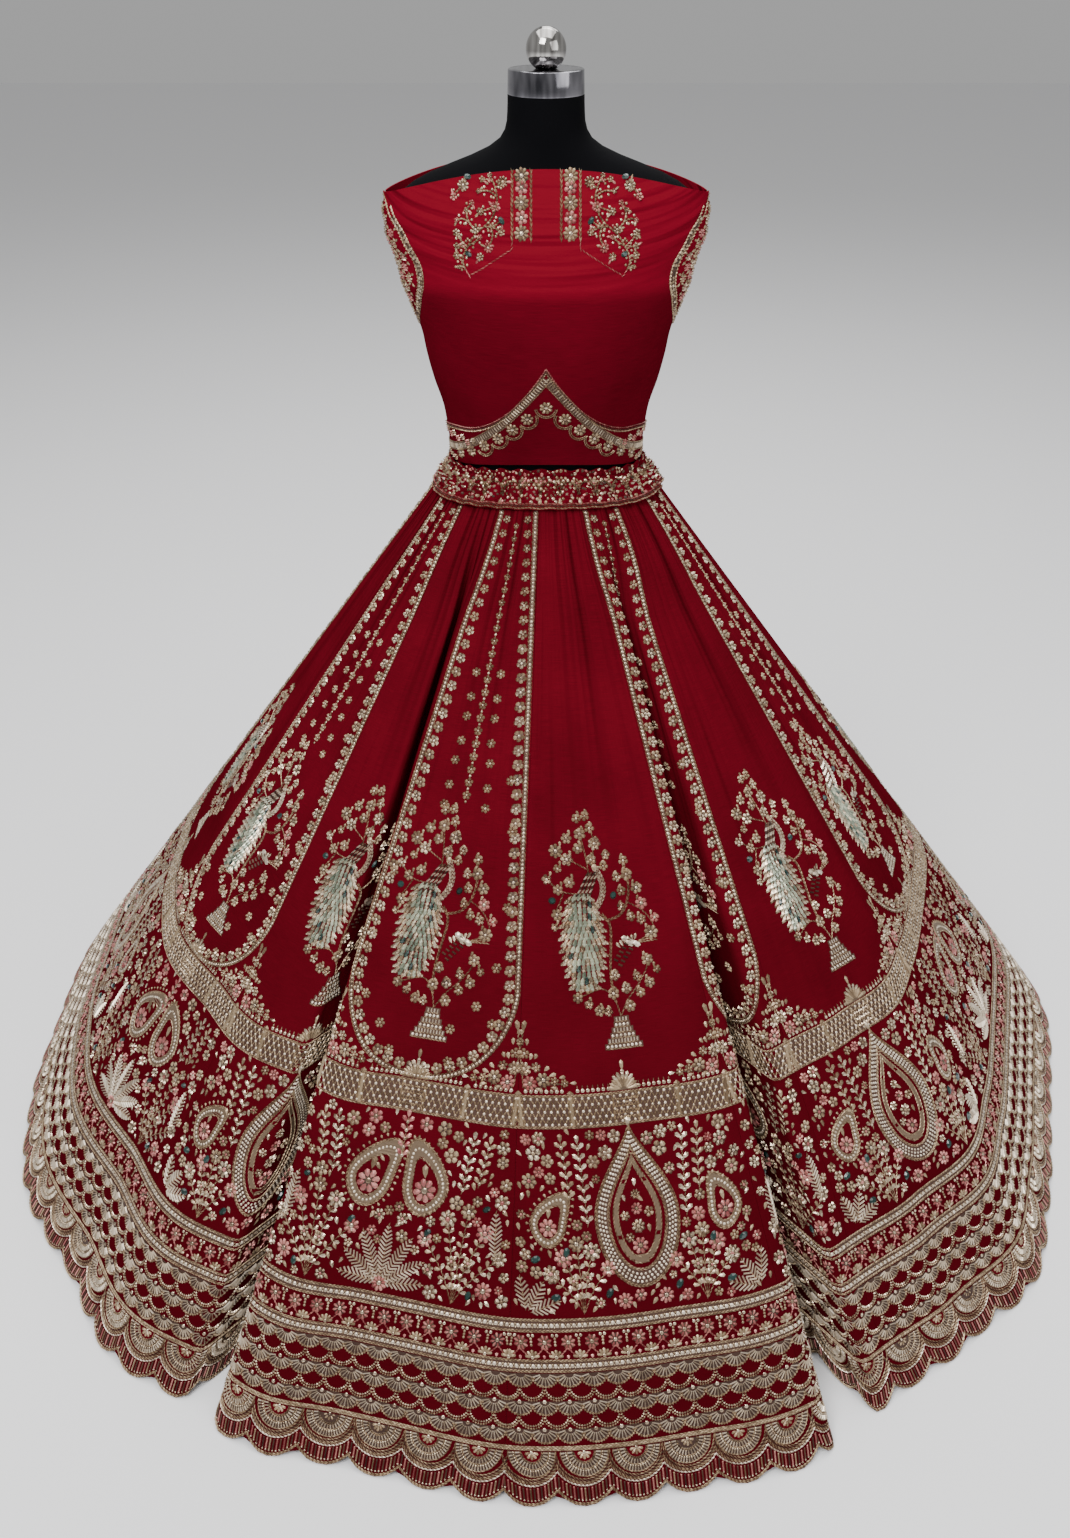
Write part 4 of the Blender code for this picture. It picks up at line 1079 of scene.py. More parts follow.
def embroidery_nodes():
    """Puts each piece's shape at its place, then gives each its finish."""
    tree_made = bpy.data.node_groups.new("Embroidery", "GeometryNodeTree")
    made = tree_made.interface
    made.new_socket(name="Places", in_out="INPUT", socket_type="NodeSocketGeometry")
    made.new_socket(name="Pieces", in_out="INPUT", socket_type="NodeSocketCollection")
    relief = made.new_socket(name="Relief", in_out="INPUT", socket_type="NodeSocketFloat")
    relief.default_value = 1.0
    made.new_socket(name="Work", in_out="OUTPUT", socket_type="NodeSocketGeometry")
    nodes, links = tree_made.nodes, tree_made.links
    entry, end = nodes.new("NodeGroupInput"), nodes.new("NodeGroupOutput")

    def attribute(name, kind):
        node = nodes.new("GeometryNodeInputNamedAttribute")
        node.data_type = kind
        node.inputs["Name"].default_value = name
        return node.outputs["Attribute"]

    pieces = nodes.new("GeometryNodeCollectionInfo")
    pieces.inputs["Separate Children"].default_value = True
    pieces.inputs["Reset Children"].default_value = True
    links.new(entry.outputs["Pieces"], pieces.inputs["Collection"])
    tilt = nodes.new("FunctionNodeEulerToRotation")
    links.new(attribute("tilt", "FLOAT_VECTOR"), tilt.inputs[0])
    scale = nodes.new("ShaderNodeVectorMath")
    scale.operation = "MULTIPLY"
    height = nodes.new("ShaderNodeCombineXYZ")
    height.inputs["X"].default_value = height.inputs["Y"].default_value = 1.0
    links.new(entry.outputs["Relief"], height.inputs["Z"])
    links.new(attribute("size", "FLOAT_VECTOR"), scale.inputs[0])
    links.new(height.outputs[0], scale.inputs[1])
    place = nodes.new("GeometryNodeInstanceOnPoints")
    place.inputs["Pick Instance"].default_value = True
    links.new(entry.outputs["Places"], place.inputs["Points"])
    links.new(pieces.outputs[0], place.inputs["Instance"])
    links.new(attribute("kind", "INT"), place.inputs["Instance Index"])
    links.new(tilt.outputs[0], place.inputs["Rotation"])
    links.new(scale.outputs[0], place.inputs["Scale"])
    real = nodes.new("GeometryNodeRealizeInstances")
    links.new(place.outputs[0], real.inputs[0])
    shape = real.outputs[0]
    for index, finish in enumerate(finishes):
        same = nodes.new("FunctionNodeCompare")
        same.data_type = "INT"
        same.operation = "EQUAL"
        links.new(attribute("finish", "INT"), same.inputs[2])
        same.inputs[3].default_value = index
        paint = nodes.new("GeometryNodeSetMaterial")
        paint.inputs["Material"].default_value = finish
        links.new(shape, paint.inputs["Geometry"])
        links.new(same.outputs[0], paint.inputs["Selection"])
        shape = paint.outputs[0]
    links.new(shape, end.inputs[0])
    return tree_made


embroidery = embroidery_nodes()


def sewn(name, work):
    """The flat mesh of a piece of work."""
    kind, x, y, turn, long, wide, high, finish = work.stacked()
    mesh = bpy.data.meshes.new(name + "_places")
    mesh.from_pydata(np.stack([x, y, 0 * x], -1).tolist(), [], [])
    chance = np.random.default_rng(11)
    tilt = np.stack([0 * x, 0 * x, turn], -1)
    size = np.stack([long, wide, high], -1)
    for label, data_type, key, data in (
        ("kind", "INT", "value", kind.astype(np.int32)), ("finish", "INT", "value", finish.astype(np.int32)),
        ("tilt", "FLOAT_VECTOR", "vector", tilt.astype(np.float32)), ("size", "FLOAT_VECTOR", "vector", size.astype(np.float32)),
        ("tone", "FLOAT", "value", np.where(kind == PATCH, 0.45, np.where(kind == HALF_DISC, 0.2, chance.random(len(x)))).astype(np.float32)),
    ):
        mesh.attributes.new(label, data_type, "POINT").data.foreach_set(key, data.reshape(-1))
    maker = bpy.data.objects.new(name, mesh)
    bpy.context.scene.collection.objects.link(maker)
    modifier = maker.modifiers.new("Embroidery", "NODES")
    modifier.node_group = embroidery
    for socket in embroidery.interface.items_tree:
        if socket.name == "Pieces":
            modifier[socket.identifier] = bits
        if socket.name == "Relief":
            modifier[socket.identifier] = 1.0
    return plain_mesh(name, maker)


def mapped(flat, name, surface):
    """A copy of flat work, laid on a surface given as a function of x, y and height."""
    mesh = flat.data.copy()
    places = np.empty(len(mesh.vertices) * 3, np.float32)
    mesh.vertices.foreach_get("co", places)
    x, y, z = places.reshape(-1, 3).astype(float).T
    mesh.vertices.foreach_set("co", surface(x, y, z).astype(np.float32).reshape(-1))
    mesh.update()
    mesh.name = name
    made = bpy.data.objects.new(name, mesh)
    bpy.context.scene.collection.objects.link(made)
    return made


flat_work = [sewn("framed_panel", panel_work(True)), sewn("plain_panel", panel_work(False))]
for number, cloth in enumerate(kali_cloths):
    def panel_surface(x, y, z):
        v = -y / SLANT
        return on_skirt(number + 0.5 + x / kali_width(v), v, z + 0.0003)
    piece = mapped(flat_work[number % 2], f"kali_{number + 1:02d}_work", panel_surface)
    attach(piece, "root")
for flat in flat_work:
    bpy.data.objects.remove(flat)


# The waistband is a gathered and flared belt of the same silk, worked all over. It lies
# on the panels' top ends and its pleats open downwards.
PLEATS = 32
BAND_END = 0.0340
FRILL = 0.0065
PLEAT_TOP = 0.0026
PLEAT_BOTTOM = 0.0068


def band_lift(u, v):
    wave = 0.5 - 0.5 * np.cos(2 * math.pi * u * PLEATS / KALIS)
    wave *= 0.75 + 0.30 * np.sin(2 * math.pi * 3 * u / KALIS) + 0.15 * np.sin(2 * math.pi * 5 * u / KALIS)
    share = v / BAND_END
    return CLOTH + SEAM_GAP + 0.0002 + wave * ((1 - share) * PLEAT_TOP + share * PLEAT_BOTTOM)


band_u, band_v = np.meshgrid(np.arange(KALIS * 20) / 20, np.linspace(0, BAND_END, 6))
band_points = on_skirt(band_u, band_v, band_lift(band_u, band_v))
band_map = ("metres", band_u * kali_width(0.02), -band_v * SLANT)
frill = on_skirt(band_u[:1], band_v[:1], band_lift(band_u[:1], band_v[:1]) + 0.0012)
frill = frill + np.array([0, 0, 1]) * (FRILL + 0.0015 * np.sin(band_u[:1] * 11.0))[..., None]
band_points = np.concatenate([frill, band_points])
band_map = ("metres", np.concatenate([band_map[1][:1], band_map[1]]), np.concatenate([band_map[2][:1] + 0.0065, band_map[2]]))
waistband = cloth_piece("waistband", band_points, (band_map,), CLOTH, closed=True)
waistband.data.materials.append(crimson_silk)
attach(waistband, "root")
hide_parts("waistband")

BAND_METRES = 0.0487
band_work = Work(7)
for row in range(-2, 8):
    y = -(2.2 + row * 4.0) * MM
    x = np.arange(0, KALIS * BAND_METRES, 6.0 * MM) + (3.0 * MM if row % 2 else 0)
    x = x + band_work.chance.uniform(-1.2, 1.2, len(x)) * MM
    finish = band_work.chance.choice([GOLD, SEQUIN, ROSE, DABKA, CRIMSON], len(x), p=[0.26, 0.18, 0.08, 0.18, 0.30])
    size = band_work.chance.uniform(3.2, 5.0, len(x)) * MM
    band_work.add(BEAD, x, y + band_work.chance.uniform(-0.8, 0.8, len(x)) * MM, 0, size, size, 2.2 * MM, finish)
for i in range(2 * KALIS):
    x = (i + 0.5) * 0.5 * BAND_METRES
    band_work.add(BEAD, x, -19 * MM, 0, 20 * MM, 19 * MM, 4.2 * MM, CRIMSON)
    band_work.add(ROUND, x + 4.2 * MM * np.cos(np.arange(5) * 1.257), -19 * MM + 4.2 * MM * np.sin(np.arange(5) * 1.257),
                  np.arange(5) * 1.257, 5.0 * MM, 4.2 * MM, 5.6 * MM, (SEQUIN, SILVER)[i % 2])
    band_work.flower(x - 0.25 * BAND_METRES, -8 * MM, 5.4 * MM, 6, (GOLD, SEQUIN)[i % 2], ROSE)
    band_work.leaf(x - 0.25 * BAND_METRES, -25 * MM, -math.pi / 2, 8 * MM, 5 * MM, GOLD)
    band_work.cord(arc(x, -20 * MM, 11.2 * MM, -10, 190, tall=1.15), GOLD, 1, 5 * MM, 2.0 * MM, 4.0 * MM)
    band_work.add(BEAD, x, 1.6 * MM, 0, 9 * MM, 7 * MM, 3.2 * MM, CRIMSON)
    band_work.add(BEAD, x, -5.0 * MM, 0, 5 * MM, 5 * MM, 3.0 * MM, SEQUIN)
whole_round = np.linspace(0, KALIS * BAND_METRES, 385)
low_edge = np.stack([whole_round, np.full_like(whole_round, -BAND_END * SLANT + 1.6 * MM)], -1)
band_work.cord(low_edge, GOLD, 1, wide=2.0 * MM, high=1.8 * MM)
band_work.cord(low_edge + np.array([0, 2.6 * MM]), DABKA, 1, wide=1.8 * MM, high=1.2 * MM)
band_work.cord(low_edge + np.array([0, 4.8 * MM]), ROSE, 1, wide=2.0 * MM, high=1.8 * MM)


def band_surface(x, y, z):
    u, v, up = x / BAND_METRES, np.maximum(-y / SLANT, 0), np.clip(y / FRILL, 0, 1)
    points = on_skirt(u, v, band_lift(u, v) + z + 0.0003 + 0.0012 * up)
    points[:, 2] += up * (FRILL + 0.0015 * np.sin(u * 11.0))
    return points


flat = sewn("flat_band", band_work)
band_piece = mapped(flat, "waistband_work", band_surface)
bpy.data.objects.remove(flat)
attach(band_piece, "root")


# The choli is a wrapped, unstitched length of the same silk in four pieces: a front and
# a back that meet down the sides, and a worked piece in each armhole. It lies close on
# the form, with soft drape folds from shoulder to shoulder.
CHOLI_CLOTH = 0.0016
CHOLI_SECTIONS = (
    (1.275, 0.178, 0.060, 0.050), (1.235, 0.178, 0.076, 0.062), (1.190, 0.177, 0.093, 0.074),
    (1.169, 0.171, 0.101, 0.079), (1.125, 0.158, 0.117, 0.085), (1.085, 0.144, 0.125, 0.086),
    (1.062, 0.140, 0.124, 0.085), (1.032, 0.133, 0.118, 0.083), (0.999, 0.123, 0.108, 0.081),
    (0.972, 0.119, 0.102, 0.081), (0.930, 0.115, 0.098, 0.082),
)
SHOULDER_Z = 1.235
UNDERARM_Z = 1.090
NECK_RISE = 0.032
CHOLI_HEM_SIDE_Z = 0.9345
CHOLI_HEM_RISE = 0.021
ARMHOLE_DEEPEST = math.radians(31.0)
CHEST_FOLDS = (
    (1.232, 0.012, 0.0022), (1.206, 0.018, 0.0030), (1.178, 0.024, 0.0022), (1.128, 0.020, 0.0016),
)
CHEST_FOLD_HALF = 0.011


def column(table, heights, place):
    """One column of a section table, read at the given heights by a smooth curve."""
    rows = np.array(sorted(table))
    z, value = rows[:, 0], rows[:, place]
    slope = np.gradient(value, z)
    heights = np.clip(heights, z[0], z[-1])
    i = np.clip(np.searchsorted(z, heights) - 1, 0, len(z) - 2)
    step = z[i + 1] - z[i]
    t = (heights - z[i]) / step
    near = (2 * t**3 - 3 * t**2 + 1) * value[i] + (t**3 - 2 * t**2 + t) * step * slope[i]
    return near + (3 * t**2 - 2 * t**3) * value[i + 1] + (t**3 - t**2) * step * slope[i + 1]


def chest_folds(turn, height):
    raised = 0.0
    for middle, sag, depth in CHEST_FOLDS:
        line = middle - sag * (1 - np.abs(np.sin(turn))) + 0.5 * sag
        raised = raised + depth * np.exp(-(((height - line) / CHEST_FOLD_HALF) ** 2))
    return raised * np.abs(np.sin(turn)) ** 0.6


def on_choli(turn, height, lift=0.0):
    """A point of the choli's outer face. turn is 0 at the front middle, pi at the back."""
    front = np.cos(turn) > 0
    half = column(CHOLI_SECTIONS, height, 1) + lift
    depth = np.where(front, column(CHOLI_SECTIONS, height, 2), column(CHOLI_SECTIONS, height, 3)) + lift
    points = np.stack([half * np.sin(turn), -depth * np.cos(turn), height + 0 * turn], axis=-1)
    away = points * np.array([1.0, 1.0, 0.0])
    away /= np.linalg.norm(away, axis=-1, keepdims=True)
    return points + (np.where(front, chest_folds(turn, height), 0))[..., None] * away


def armhole_turn(height):
    along = (SHOULDER_Z - height) / (SHOULDER_Z - UNDERARM_Z)
    return math.pi / 2 - ARMHOLE_DEEPEST * np.sin(math.pi * np.clip(along, 0, 1)) ** 0.8


spread, down = np.meshgrid(np.linspace(-1, 1, 61), np.linspace(0, 1, 55))
first_turn = spread * math.pi / 2
choli_cloths = []
for name, back in (("choli_front", False), ("choli_back", True)):
    top = SHOULDER_Z - 0.001 + NECK_RISE * np.cos(first_turn) ** 2
    bottom = CHOLI_HEM_SIDE_Z + CHOLI_HEM_RISE * np.cos(first_turn) ** 2 * (0.5 if back else 1)
    height = top + (bottom - top) * down
    turn = spread * armhole_turn(height)
    half = column(CHOLI_SECTIONS, height, 1)
    turn = turn - np.sign(spread) * (np.abs(spread) == 1) * 0.5 * SEAM_GAP / half
    if back:
        turn = (math.pi - turn)[:, ::-1]
    points = on_choli(turn, height)
    metres = ("metres", turn * 0.13, height)
    piece = cloth_piece(name, points, (metres,), CHOLI_CLOTH)
    piece.data.materials.append(draped_silk)
    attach(piece, "root")
    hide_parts(name)
    choli_cloths.append(piece)

for side, name in ((1, "choli_side_left"), (-1, "choli_side_right")):
    heights = np.linspace(SHOULDER_Z - 0.0025, UNDERARM_Z + 0.0025, 45)
    edge = armhole_turn(heights) + 2 * SEAM_GAP / column(CHOLI_SECTIONS, heights, 1)
    share = np.linspace(0, 1, 13)
    turn = edge[:, None] + (math.pi - 2 * edge)[:, None] * share
    turn = turn if side > 0 else -turn[:, ::-1]
    height = np.repeat(heights[:, None], 13, axis=1)
    piece = cloth_piece(name, on_choli(turn, height), (("metres", turn * 0.13, height),), CHOLI_CLOTH)
    piece.data.materials.append(draped_silk)
    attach(piece, "root")
    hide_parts(name)
    choli_cloths.append(piece)


# The choli's work: two neck bands with flower vines beside them, borders round the
# armholes, a vine net on the side pieces, and a peaked border that rises at the middle.
TURNS = np.linspace(-math.pi, math.pi, 121)


def reach_table(heights):
    """Length along the cloth from the front middle to each turn, at these heights."""
    half = column(CHOLI_SECTIONS, heights, 1)[:, None]
    front, back = (column(CHOLI_SECTIONS, heights, place)[:, None] for place in (2, 3))
    depth = np.where(np.cos(TURNS) > 0, front, back)
    step = np.hypot(half * np.cos(TURNS), depth * np.sin(TURNS)) * (TURNS[1] - TURNS[0])
    run = np.cumsum(step, axis=1)
    return run - run[:, 60:61]


table_heights = np.linspace(0.93, 1.275, 70)
reaches = reach_table(table_heights)


def turn_at(x, height):
    row = np.interp(height, table_heights, np.arange(70))
    k = np.minimum(row.astype(int), 68)
    share = row - k
    turns = np.empty_like(x)
    for i in range(69):
        here = k == i
        if here.any():
            low, high = np.interp(x[here], reaches[i], TURNS), np.interp(x[here], reaches[i + 1], TURNS)
            turns[here] = (1 - share[here]) * low + share[here] * high
    return turns


def choli_surface(x, y, z):
    return on_choli(turn_at(x, y), y, z + 0.0003)


def armhole_path(low, high, inset, back=False):
    """The armhole's edge in the flat, a little in from it."""
    heights = np.linspace(high, low, 60)
    edge = armhole_turn(heights)
    edge = math.pi - edge if back else edge
    x = np.array([np.interp(turn, TURNS, row) for turn, row in zip(edge, reach_table(heights))])
    return np.stack([x + (inset if back else -inset), heights], -1)


def both_sides(path):
    path = np.asarray(path, float)
    return path, path * np.array([-1.0, 1.0])


front_work = Work(9)
for side in (-1, 1):
    middle = side * 26 * MM
    for edge in (-10, 10):
        band = [(middle + edge * MM, 1.1985), (middle + edge * MM, 1.2655)]
        front_work.cord(band, GOLD, 2, wide=1.3 * MM)
    for i, height in enumerate((1.2600, 1.2490, 1.2350, 1.2210, 1.2065)):
        finish, heart = ((GOLD, SEQUIN), (ROSE, SEQUIN))[i % 2]
        front_work.flower(middle, height, (8.0 if i % 2 == 0 else 7.0) * MM, 9 if i % 2 == 0 else 6, finish, heart)
    at = lambda across, up: (side * across * MM, 1.1 + up * MM)
    stems = (
        ((87.8, 69.2), (91, 80), (85.4, 91.9), (74.3, 105.9), (59.6, 116.6), (52.5, 129.5), (51.5, 140.3), (54.7, 151), (59.6, 160)),
        ((74.3, 108), (84, 116), (85, 127), (79, 134)), ((83, 116), (90, 119), (96, 117)), ((65.7, 112), (56, 112), (49, 117)),
        ((61, 112), (54, 111), (47, 107)), ((60, 115), (56, 106), (58, 98), (62, 93)), ((85, 92), (92, 98), (96, 105)),
        ((86, 90), (92, 92), (97, 92)), ((90, 78), (94, 80), (97, 83)), ((84, 93), (76, 97), (70, 102)),
        ((52, 140), (60, 146), (71, 145)), ((54, 148), (49, 152), (46, 154)), ((56, 154), (62, 156), (68, 156)),
        ((53, 132), (62, 128), (70, 126)), ((89, 150), (94, 146), (99, 140)), ((88, 72), (92, 73), (95, 73)),
    )
    for stem in stems:
        path = curve(*[at(*spot) for spot in stem])
        front_work.cord(path, GOLD, 1, 5 * MM, 2.2 * MM, 2.0 * MM)
        for aside in (-3.6, 3.6):
            x, y, turn = front_work.along(path, 9.0 * MM, 0.0, aside * MM)
            front_work.add(BEAD, x, y, 0, 2.8 * MM, 2.8 * MM, 1.8 * MM, np.array([GOLD, SEQUIN, ROSE])[np.arange(len(x)) % 3])
    blooms = (
        (46, 154, 6.4, 9, SEQUIN), (89, 150, 6.8, 9, SEQUIN), (53.5, 131, 5.6, 8, ROSE), (70, 126, 4.6, 6, SEQUIN),
        (79, 134, 3.4, 5, ROSE), (75, 109, 5.0, 6, SEQUIN), (47, 107, 4.2, 5, SEQUIN), (62, 92, 5.8, 8, ROSE),
        (71, 83, 4.8, 6, SEQUIN), (96, 105, 4.6, 6, SEQUIN), (97, 92, 4.2, 5, SEQUIN), (97, 83, 4.4, 6, GOLD),
        (70, 102, 3.0, 5, ROSE), (96, 117, 2.8, 5, ROSE), (68, 156, 3.6, 5, GOLD), (72, 145, 3.0, 5, SEQUIN),
        (99, 139, 4.4, 5, ROSE), (95, 72, 2.6, 5, SEQUIN), (59.6, 160, 3.0, 5, SEQUIN), (85, 127, 3.0, 5, SEQUIN),
    )
    for i, (across, up, radius, petals, finish) in enumerate(blooms):
        x, y = at(across, up)
        front_work.flower(x, y, 0.9 * radius * MM, petals, finish, (GOLD, SEQUIN)[i % 2], 0.3 * i)
        front_work.leaf(x, y, 1.3 * i, (radius + 3.5) * MM, 2.8 * MM, (ROSE, GOLD)[i % 2])
    for across, up, long, tilt in ((84, 85, 8, 0.5), (47.5, 118, 9, 0.9), (84, 158, 8, 0.1)):
        x, y = at(across, up)
        front_work.stone(x, y, long * MM, 5.6 * MM, tilt * side)
    front_work.cord([at(36, 98.5), at(36.5, 91.5), at(68.5, 72), at(84, 64), at(88, 70)], ROSE, 1, wide=1.0 * MM)
for path in both_sides(armhole_path(UNDERARM_Z + 0.003, SHOULDER_Z - 0.002, 1.6 * MM)):
    front_work.cord(path, GOLD, 1, 5 * MM, 1.7 * MM, 1.6 * MM)
for path in both_sides(armhole_path(UNDERARM_Z + 0.010, SHOULDER_Z - 0.022, 5.8 * MM)):
    front_work.patch(path, 8 * MM, DABKA, 5 * MM)
    for aside in (-2.2, 1.0):
        x, y, turn = front_work.along(path, 4.4 * MM, 0.0, aside * MM)
        finish = front_work.chance.choice([GOLD, SEQUIN, DABKA], len(x), p=[0.50, 0.25, 0.25])
        front_work.add(BEAD, x, y, 0, 3.6 * MM, 3.6 * MM, 1.8 * MM, finish)
for path in both_sides(armhole_path(UNDERARM_Z + 0.006, SHOULDER_Z - 0.012, 10.4 * MM)):
    front_work.cord(path, GOLD, 1, 5 * MM, 1.7 * MM, 1.6 * MM)
outer_line = curve((0, 1.0735), (0.0075, 1.062), (0.016, 1.050), (0.028, 1.0345), (0.042, 1.0195), (0.064, 1.002), (0.092, 0.990),
                   (0.128, 0.986), (0.176, 0.974))
bugle_line = curve((0, 1.0615), (0.0125, 1.0465), (0.0245, 1.0325), (0.037, 1.0175), (0.052, 1.0015), (0.081, 0.978), (0.112, 0.962),
                   (0.150, 0.952), (0.176, 0.949))
for line in both_sides(outer_line):
    front_work.cord(line, ROSE, 1, 5 * MM, 1.4 * MM)
    front_work.cord(line - np.array([0, 2.6 * MM]), DABKA, 1, 5 * MM, 1.4 * MM)
    front_work.chain(line - np.array([0, 4.8 * MM]), 2.0 * MM, GOLD, 2.5 * MM)
for line in both_sides(bugle_line):
    front_work.patch(line, 9 * MM, DABKA, 5 * MM)
    front_work.bars(line, 6.4 * MM, SEQUIN, 3.5 * MM, 1.8 * MM)
    for aside in (-4.6, 4.6):
        x, y, turn = front_work.along(line, 2.6 * MM, 0.0, aside * MM)
        front_work.add(STITCH, x, y, turn + 0.3, 3.6 * MM, 1.4 * MM, 1.1 * MM, GOLD)
peak_flowers = ((0, 1.0275), (21.5, 1.0125), (39, 0.9975), (57, 0.9840), (76, 0.9715), (96, 0.9610), (117, 0.9530))
for (across, height), slope in zip(peak_flowers, (0, -38, -40, -36, -32, -26, -20)):
    for side in ((-1, 1) if across else (1,)):
        x = side * across * MM
        front_work.flower(x, height, 7.6 * MM, 8, GOLD, SEQUIN)
        if across < 80:
            for radius, finish in ((10.6, GOLD), (12.6, GOLD)):
                ring = arc(across * MM, height, radius * MM, slope - 172, slope - (8 if across else 8))
                front_work.cord(ring * np.array([side, 1.0]), finish, 1, 4 * MM, 1.5 * MM, 1.2 * MM)
for i in range(9):
    across = (92 + i * 9.4) * MM
    for side in (-1, 1):
        front_work.flower(side * across, 0.974 - 0.004 * (i % 2), 4.2 * MM, 6, (SEQUIN, ROSE)[i % 2], GOLD)
        if i > 3:
            front_work.flower(side * across, 0.9425, 4.0 * MM, 6, (GOLD, SEQUIN)[i % 2], ROSE)

back_work = Work(10)
for path in both_sides(armhole_path(UNDERARM_Z + 0.003, SHOULDER_Z - 0.002, 1.6 * MM, back=True)):
    back_work.cord(path, GOLD, 1, 5 * MM, 1.7 * MM, 1.6 * MM)
for path in both_sides(armhole_path(UNDERARM_Z + 0.010, SHOULDER_Z - 0.022, 5.8 * MM, back=True)):
    back_work.patch(path, 8 * MM, DABKA, 5 * MM)
    for aside in (-2.2, 1.0):
        x, y, turn = back_work.along(path, 4.4 * MM, 0.0, aside * MM)
        finish = back_work.chance.choice([GOLD, SEQUIN, DABKA], len(x), p=[0.50, 0.25, 0.25])
        back_work.add(BEAD, x, y, 0, 3.6 * MM, 3.6 * MM, 1.8 * MM, finish)
for path in both_sides(armhole_path(UNDERARM_Z + 0.006, SHOULDER_Z - 0.012, 10.4 * MM, back=True)):
    back_work.cord(path, GOLD, 1, 5 * MM, 1.7 * MM, 1.6 * MM)
for side in (-1, 1):
    for height, finish in ((0.974, ROSE), (0.949, GOLD)):
        back_work.cord([(side * 0.176, height), (side * 0.327, height)], finish, 2, wide=1.4 * MM)
    back_work.patch([(side * 0.176, 0.9535), (side * 0.326, 0.9535)], 6 * MM, DABKA, 5 * MM)
    back_work.bars([(side * 0.176, 0.9535), (side * 0.326, 0.9535)], 5.4 * MM, SEQUIN, 2.5 * MM, 1.6 * MM)
    for i in range(13):
        back_work.flower(side * (0.182 + i * 0.0118), 0.965, 4.6 * MM, 7, (GOLD, ROSE)[i % 2], SEQUIN)


def side_work(side):
    """A vine with flowers that fills one armhole."""
    work = Work(12)
    for i, height in enumerate(np.linspace(UNDERARM_Z + 0.016, SHOULDER_Z - 0.018, 11)):
        edge = float(armhole_turn(height))
        half = (0.5 * math.pi - edge) * float(column(CHOLI_SECTIONS, height, 3)) - 5 * MM
        count = max(1, int(2 * half / (11 * MM)))
        for k in range(count):
            x = (k + 0.5) / count * 2 * half - half + (2 * MM if i % 2 else -2 * MM)
            work.flower(x, height, 4.6 * MM, 7, (SEQUIN, GOLD, ROSE)[(i + k) % 3], (ROSE, SEQUIN)[k % 2], i + k)
            for tilt in (0.6, 2.4, 4.0):
                work.leaf(x + 5 * MM * math.cos(tilt), height + 5 * MM * math.sin(tilt), tilt, 5 * MM, 2.6 * MM, GOLD)
    return work


def side_surface(side):
    def surface(x, y, z):
        turn = side * (0.5 * math.pi + x / np.maximum(column(CHOLI_SECTIONS, y, 3), 0.05))
        return on_choli(turn, y, z + 0.0003)
    return surface


choli_jobs = (
    ("choli_front", front_work, choli_surface, (0.44, 0.335)), ("choli_back", back_work, choli_surface, (0.38, 0.330)),
    ("choli_side_left", side_work(1), side_surface(1), (0.105, 0.135)),
    ("choli_side_right", side_work(-1), side_surface(-1), (0.105, 0.135)),
)
for (name, work, surface, cut), cloth in zip(choli_jobs, choli_cloths):
    flat = sewn("flat_" + name, work)
    piece = mapped(flat, name + "_work", surface)
    bpy.data.objects.remove(flat)
    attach(piece, "root")


# The form is a padded body covered in matt black jersey, with a chrome neck cap and a
# steel ball screwed into it. Below, a plain pole stands in a round enamelled base.
FORM_TOP = (
    (1.3300, 0.0412, 0.0410, 0.0410), (1.3120, 0.0418, 0.0408, 0.0418), (1.2950, 0.0450, 0.0415, 0.0430),
    (1.2820, 0.0560, 0.0425, 0.0430), (1.2710, 0.0790, 0.0450, 0.0430), (1.2600, 0.1090, 0.0490, 0.0440),
    (1.2480, 0.1380, 0.0560, 0.0480), (1.2340, 0.1590, 0.0660, 0.0550), (1.2150, 0.1710, 0.0770, 0.0640),
)
FORM_BOTTOM = (
    (0.916, 0.1118, 0.095, 0.0790), (0.890, 0.1225, 0.105, 0.0905), (0.850, 0.1400, 0.118, 0.106),
    (0.800, 0.1490, 0.127, 0.118), (0.755, 0.1510, 0.130, 0.122), (0.730, 0.1480, 0.127, 0.119),
    (0.718, 0.1380, 0.117, 0.110),
)
BUST_CLEARANCE = 0.0034
WAIST_CLEARANCE = 0.0012
WAIST_STARTS = 1.010

form_table = list(FORM_TOP + FORM_BOTTOM)
for z, half, front, back in CHOLI_SECTIONS:
    if z < FORM_TOP[-1][0]:
        inset = CHOLI_CLOTH + (BUST_CLEARANCE if z > WAIST_STARTS else WAIST_CLEARANCE)
        form_table.append((z, half - inset, front - inset, back - inset))
form_turn = np.arange(72) * 2 * math.pi / 72
form_rings = []
for z in np.linspace(1.330, 0.718, 72):
    half, front, back = (float(column(form_table, z, place)) for place in (1, 2, 3))
    depth = np.where(np.cos(form_turn) > 0, front, back)
    form_rings.append(np.stack([half * np.sin(form_turn), -depth * np.cos(form_turn), z + 0 * form_turn], -1))
rings = np.array(form_rings)
count = len(form_turn)
faces = [
    (k * count + j, (k + 1) * count + j, (k + 1) * count + (j + 1) % count, k * count + (j + 1) % count)
    for k in range(len(rings) - 1) for j in range(count)
]
faces.append(tuple(range(count)))
faces.append(tuple(reversed(range((len(rings) - 1) * count, len(rings) * count))))
form_mesh = bpy.data.meshes.new("form_body")
form_mesh.from_pydata(rings.reshape(-1, 3), [], faces)
form_mesh.shade_smooth()
form_mesh.set_sharp_from_angle(angle=math.radians(50))
form_body = bpy.data.objects.new("form_body", form_mesh)
bpy.context.scene.collection.objects.link(form_body)

